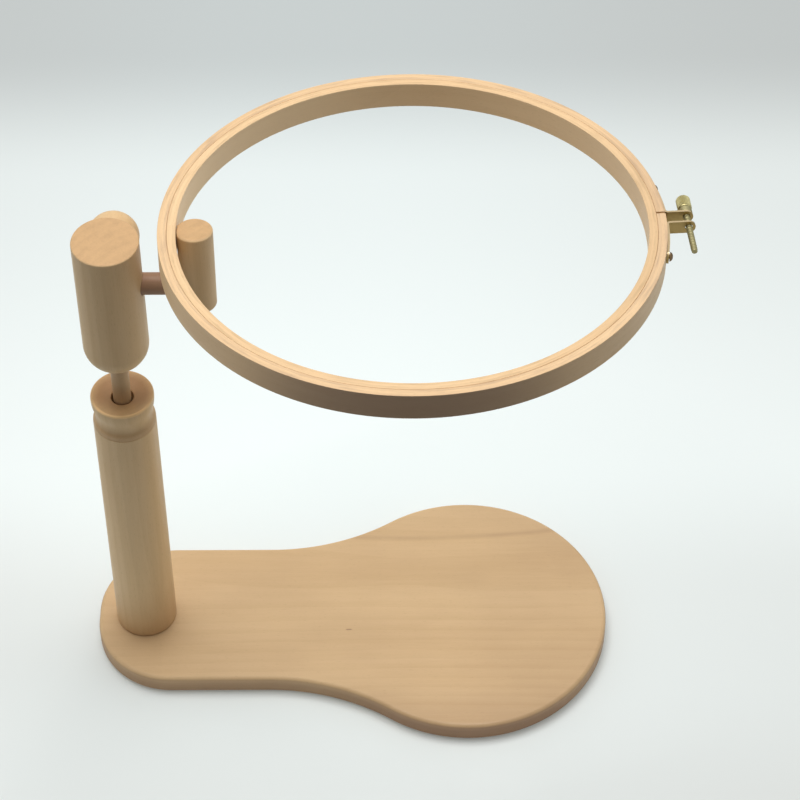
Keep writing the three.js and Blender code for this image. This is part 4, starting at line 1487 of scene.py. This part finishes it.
class HOOPSTAND_OT_tension_screw(bpy.types.Operator):
    """Threaded tension screw with its collar and knurled head"""

    bl_idname = "hoop_stand.tension_screw"
    bl_label = "Tension screw"

    def execute(self, context):
        sizes = context.scene.hoop_brass
        gap = context.scene.hoop_post.clearance
        finishes = context.scene.hoop_finishes
        brass = metal("brass_screw", finishes.brass, roughness=0.42, tarnish=0.35)
        place = SPLIT_HOOP @ Matrix.Translation(SCREW_LINE) @ TO_Y
        lug = (sizes.lug_spacing + sizes.strap_thickness) / 2
        tip = -lug - sizes.screw_past_lug
        shoulder = lug + gap
        shoulder_end = shoulder + sizes.shoulder_length
        head = shoulder_end + gap
        root = sizes.screw_radius - sizes.screw_pitch / 2
        section = rounded(
            [
                (0, tip),
                (root, tip, sizes.screw_point),
                (root, shoulder),
                (sizes.shoulder_radius, shoulder, sizes.shoulder_lug_edge),
                (sizes.shoulder_radius, shoulder_end, sizes.shoulder_head_edge),
                (sizes.spigot_radius, shoulder_end),
                (sizes.spigot_radius, head + sizes.spigot_length),
                (0, head + sizes.spigot_length),
            ]
        )
        dull = metal("brass_thread", finishes.thread_brass, roughness=0.6, tarnish=0.4)
        low, high = tip + sizes.screw_point, shoulder - sizes.screw_point
        radius, pitch = sizes.screw_radius, sizes.screw_pitch
        screw = threaded("brass_tension_screw", section, radius, pitch, low, high, dull, place)
        dress(screw, "screw", "brass", dull, "tension_screw")

        inner = sizes.head_radius - sizes.ridge_depth
        bore = sizes.spigot_radius + gap
        bore_end = head + sizes.spigot_length + gap
        end = head + sizes.head_length
        section = [(0, bore_end), (bore, bore_end)]
        section += rounded(
            [
                (bore, bore_end),
                (bore, head),
                (inner, head, sizes.head_edge),
                (inner, end, sizes.head_edge),
                (0, end),
            ]
        )[1:]
        core = turned("head_core", section, Matrix(), METAL_FACETS)
        knurled = grow(
            "knurled_head",
            knurl_tree(),
            {
                "Core": core,
                "Radius": sizes.head_radius,
                "Depth": sizes.ridge_depth,
                "Start": head + sizes.head_edge,
                "Length": sizes.head_length - 2 * sizes.head_edge,
                "Ridges": sizes.ridges,
                "Material": brass,
            },
            place,
        )
        discard(core)
        dress(face_out(knurled), "screw", "brass", brass, "screw_head")
        return {"FINISHED"}


class HOOPSTAND_OT_stage(bpy.types.Operator):
    """Pale floor, soft overhead light and the camera"""

    bl_idname = "hoop_stand.stage"
    bl_label = "Stage"

    def floor(self, studio):
        """A pale floor that greys with distance, with a warm shade near the stand."""
        shape = bmesh.new()
        bmesh.ops.create_grid(shape, x_segments=8, y_segments=8, size=FLOOR_HALF)
        floor = link("floor", shape, Matrix.Translation((0, 0, -FLOOR_DROP)))
        material, nodes = new_finish("pale_floor")
        here = nodes.add("ShaderNodeTexCoord", output="Object")
        far = nodes.add("ShaderNodeSeparateXYZ", {}, {0: here}, output="Y")
        side = far.out("X")
        seen = self.seen(nodes)
        depth = nodes.ease(far, 0.1, 0.42) * 0.32 + nodes.ease(far, 0.38, 0.52) * 0.68
        pale = nodes.mix(depth, rgba(studio.floor), rgba(studio.floor_far))
        fall = nodes.ease(side, 0.0, 0.32) * 0.07 + nodes.ease(0.0 - far, -0.13, -0.02) * 0.075
        fall = fall + nodes.ease(0.0 - far, 0.04, 0.16) * 0.07
        left = nodes.ease(0.0 - side, 0.05, 0.3) * nodes.ease(far, -0.13, -0.01)
        fall = fall + left * (0.11 - nodes.ease(far, 0.0, 0.12) * 0.05)
        pale = nodes.mix(fall, pale, rgba(studio.floor_shade))
        behind = nodes.ease(far, -0.42, -0.2)
        lit = nodes.mix(behind, rgba(studio.floor_bounce), rgba(studio.floor, 1.05))
        colour = nodes.mix(seen, lit, pale)
        diffuse = nodes.add("ShaderNodeBsdfDiffuse", {}, {"Color": colour})
        glow = nodes.add("ShaderNodeEmission", {}, {"Color": pale, "Strength": 1.06})
        away = nodes.ease((far ** 2.0 + side ** 2.0) ** 0.5, 0.8, 2.2)
        soft = nodes.add("ShaderNodeMixShader", {}, {0: seen * (0.15 + away * 0.75), 1: diffuse, 2: glow})
        nodes.add("ShaderNodeOutputMaterial", {}, {"Surface": soft})
        floor.data.materials.append(material)

    def seen(self, nodes):
        """1 for what the camera sees itself, in metal or through glass."""
        path = nodes.add("ShaderNodeLightPath", output="Is Camera Ray")
        mirrored = path.math("MAXIMUM", path, path.out("Is Glossy Ray"))
        return mirrored.math("MAXIMUM", mirrored, path.out("Is Transmission Ray"))

    def sky(self, context, studio):
        """Soft light all round, weaker from the front and stronger from both sides."""
        world = bpy.data.worlds.new("soft_room")
        world.use_nodes = True
        nodes = Nodes(world.node_tree)
        way = nodes.add("ShaderNodeTexCoord", output="Generated")
        parts = nodes.add("ShaderNodeSeparateXYZ", {}, {0: way}, output="Y")
        front = nodes.ease(0.0 - parts, -0.1, 0.7)
        left = nodes.ease(0.0 - parts.out("X"), 0.0, 0.9)
        right = nodes.ease(parts.out("X"), 0.0, 0.9)
        level = (1.0 - front * 0.6) * (1.0 + left * 0.38 + right * 0.31) * studio.sky
        colour = rgba(studio.sky_colour)
        shade = nodes.add("ShaderNodeBackground", {}, {"Color": colour, "Strength": level})
        plain = nodes.add("ShaderNodeBackground", {}, {"Color": rgba(studio.floor), "Strength": 0.9})
        both = nodes.add("ShaderNodeMixShader", {}, {0: self.seen(nodes), 1: shade, 2: plain})
        nodes.add("ShaderNodeOutputWorld", {}, {"Surface": both})
        context.scene.world = world

    def lamp(self, context, studio):
        """A broad lamp over the stand."""
        data = bpy.data.lights.new("overhead", "AREA")
        data.shape = "RECTANGLE"
        data.size = LAMP_WIDTH
        data.size_y = LAMP_DEPTH
        data.energy = studio.key_power
        lamp = bpy.data.objects.new("overhead", data)
        lamp.location = LAMP_AT
        lamp.rotation_euler = (LAMP_TARGET - LAMP_AT).to_track_quat("-Z", "Y").to_euler()
        context.scene.collection.objects.link(lamp)

    def camera(self, context):
        """Stands where the photograph was taken from."""
        data = bpy.data.cameras.new("camera")
        data.lens = CAMERA_LENS
        data.sensor_width = CAMERA_SENSOR
        data.clip_end = CAMERA_REACH
        camera = bpy.data.objects.new("camera", data)
        tilt = Matrix.Rotation(QUARTER - CAMERA_DOWN, 4, "X")
        roll = Matrix.Rotation(CAMERA_ROLL, 4, "Z")
        camera.matrix_world = Matrix.Translation(CAMERA_AT) @ tilt @ roll
        context.scene.collection.objects.link(camera)
        context.scene.camera = camera

    def execute(self, context):
        studio = context.scene.hoop_studio
        self.floor(studio)
        self.sky(context, studio)
        self.lamp(context, studio)
        self.camera(context)
        context.scene.view_settings.view_transform = "Standard"
        return {"FINISHED"}


class HOOPSTAND_PT_panel(bpy.types.Panel):
    """Lists the steps that build the stand"""

    bl_idname = "HOOPSTAND_PT_panel"
    bl_label = "Hoop Stand"
    bl_space_type = "VIEW_3D"
    bl_region_type = "UI"
    bl_category = "Hoop Stand"

    def draw(self, context):
        column = self.layout.column(align=True)
        for step in STEPS:
            column.operator(step.bl_idname)


GROUPS = {
    "hoop_base": BaseSizes,
    "hoop_post": PostSizes,
    "hoop_head": HeadSizes,
    "hoop_arm": HoopSizes,
    "hoop_brass": BrassSizes,
    "hoop_finishes": Finishes,
    "hoop_studio": Studio,
}
STEPS = (
    HOOPSTAND_OT_stage,
    HOOPSTAND_OT_base,
    HOOPSTAND_OT_post,
    HOOPSTAND_OT_head,
    HOOPSTAND_OT_arm,
    HOOPSTAND_OT_outer_ring,
    HOOPSTAND_OT_tension_screw,
)


def register():
    for name, group in GROUPS.items():
        bpy.utils.register_class(group)
        setattr(bpy.types.Scene, name, PointerProperty(type=group))
    for step in STEPS:
        bpy.utils.register_class(step)
    bpy.utils.register_class(HOOPSTAND_PT_panel)


def unregister():
    bpy.utils.unregister_class(HOOPSTAND_PT_panel)
    for step in reversed(STEPS):
        bpy.utils.unregister_class(step)
    for name, group in GROUPS.items():
        delattr(bpy.types.Scene, name)
        bpy.utils.unregister_class(group)


def main():
    register()
    bpy.ops.hoop_stand.stage()
    bpy.ops.hoop_stand.base()
    bpy.ops.hoop_stand.post()
    bpy.ops.hoop_stand.head()
    bpy.ops.hoop_stand.arm()
    bpy.ops.hoop_stand.outer_ring()
    bpy.ops.hoop_stand.tension_screw()


if __name__ == "__main__":
    main()
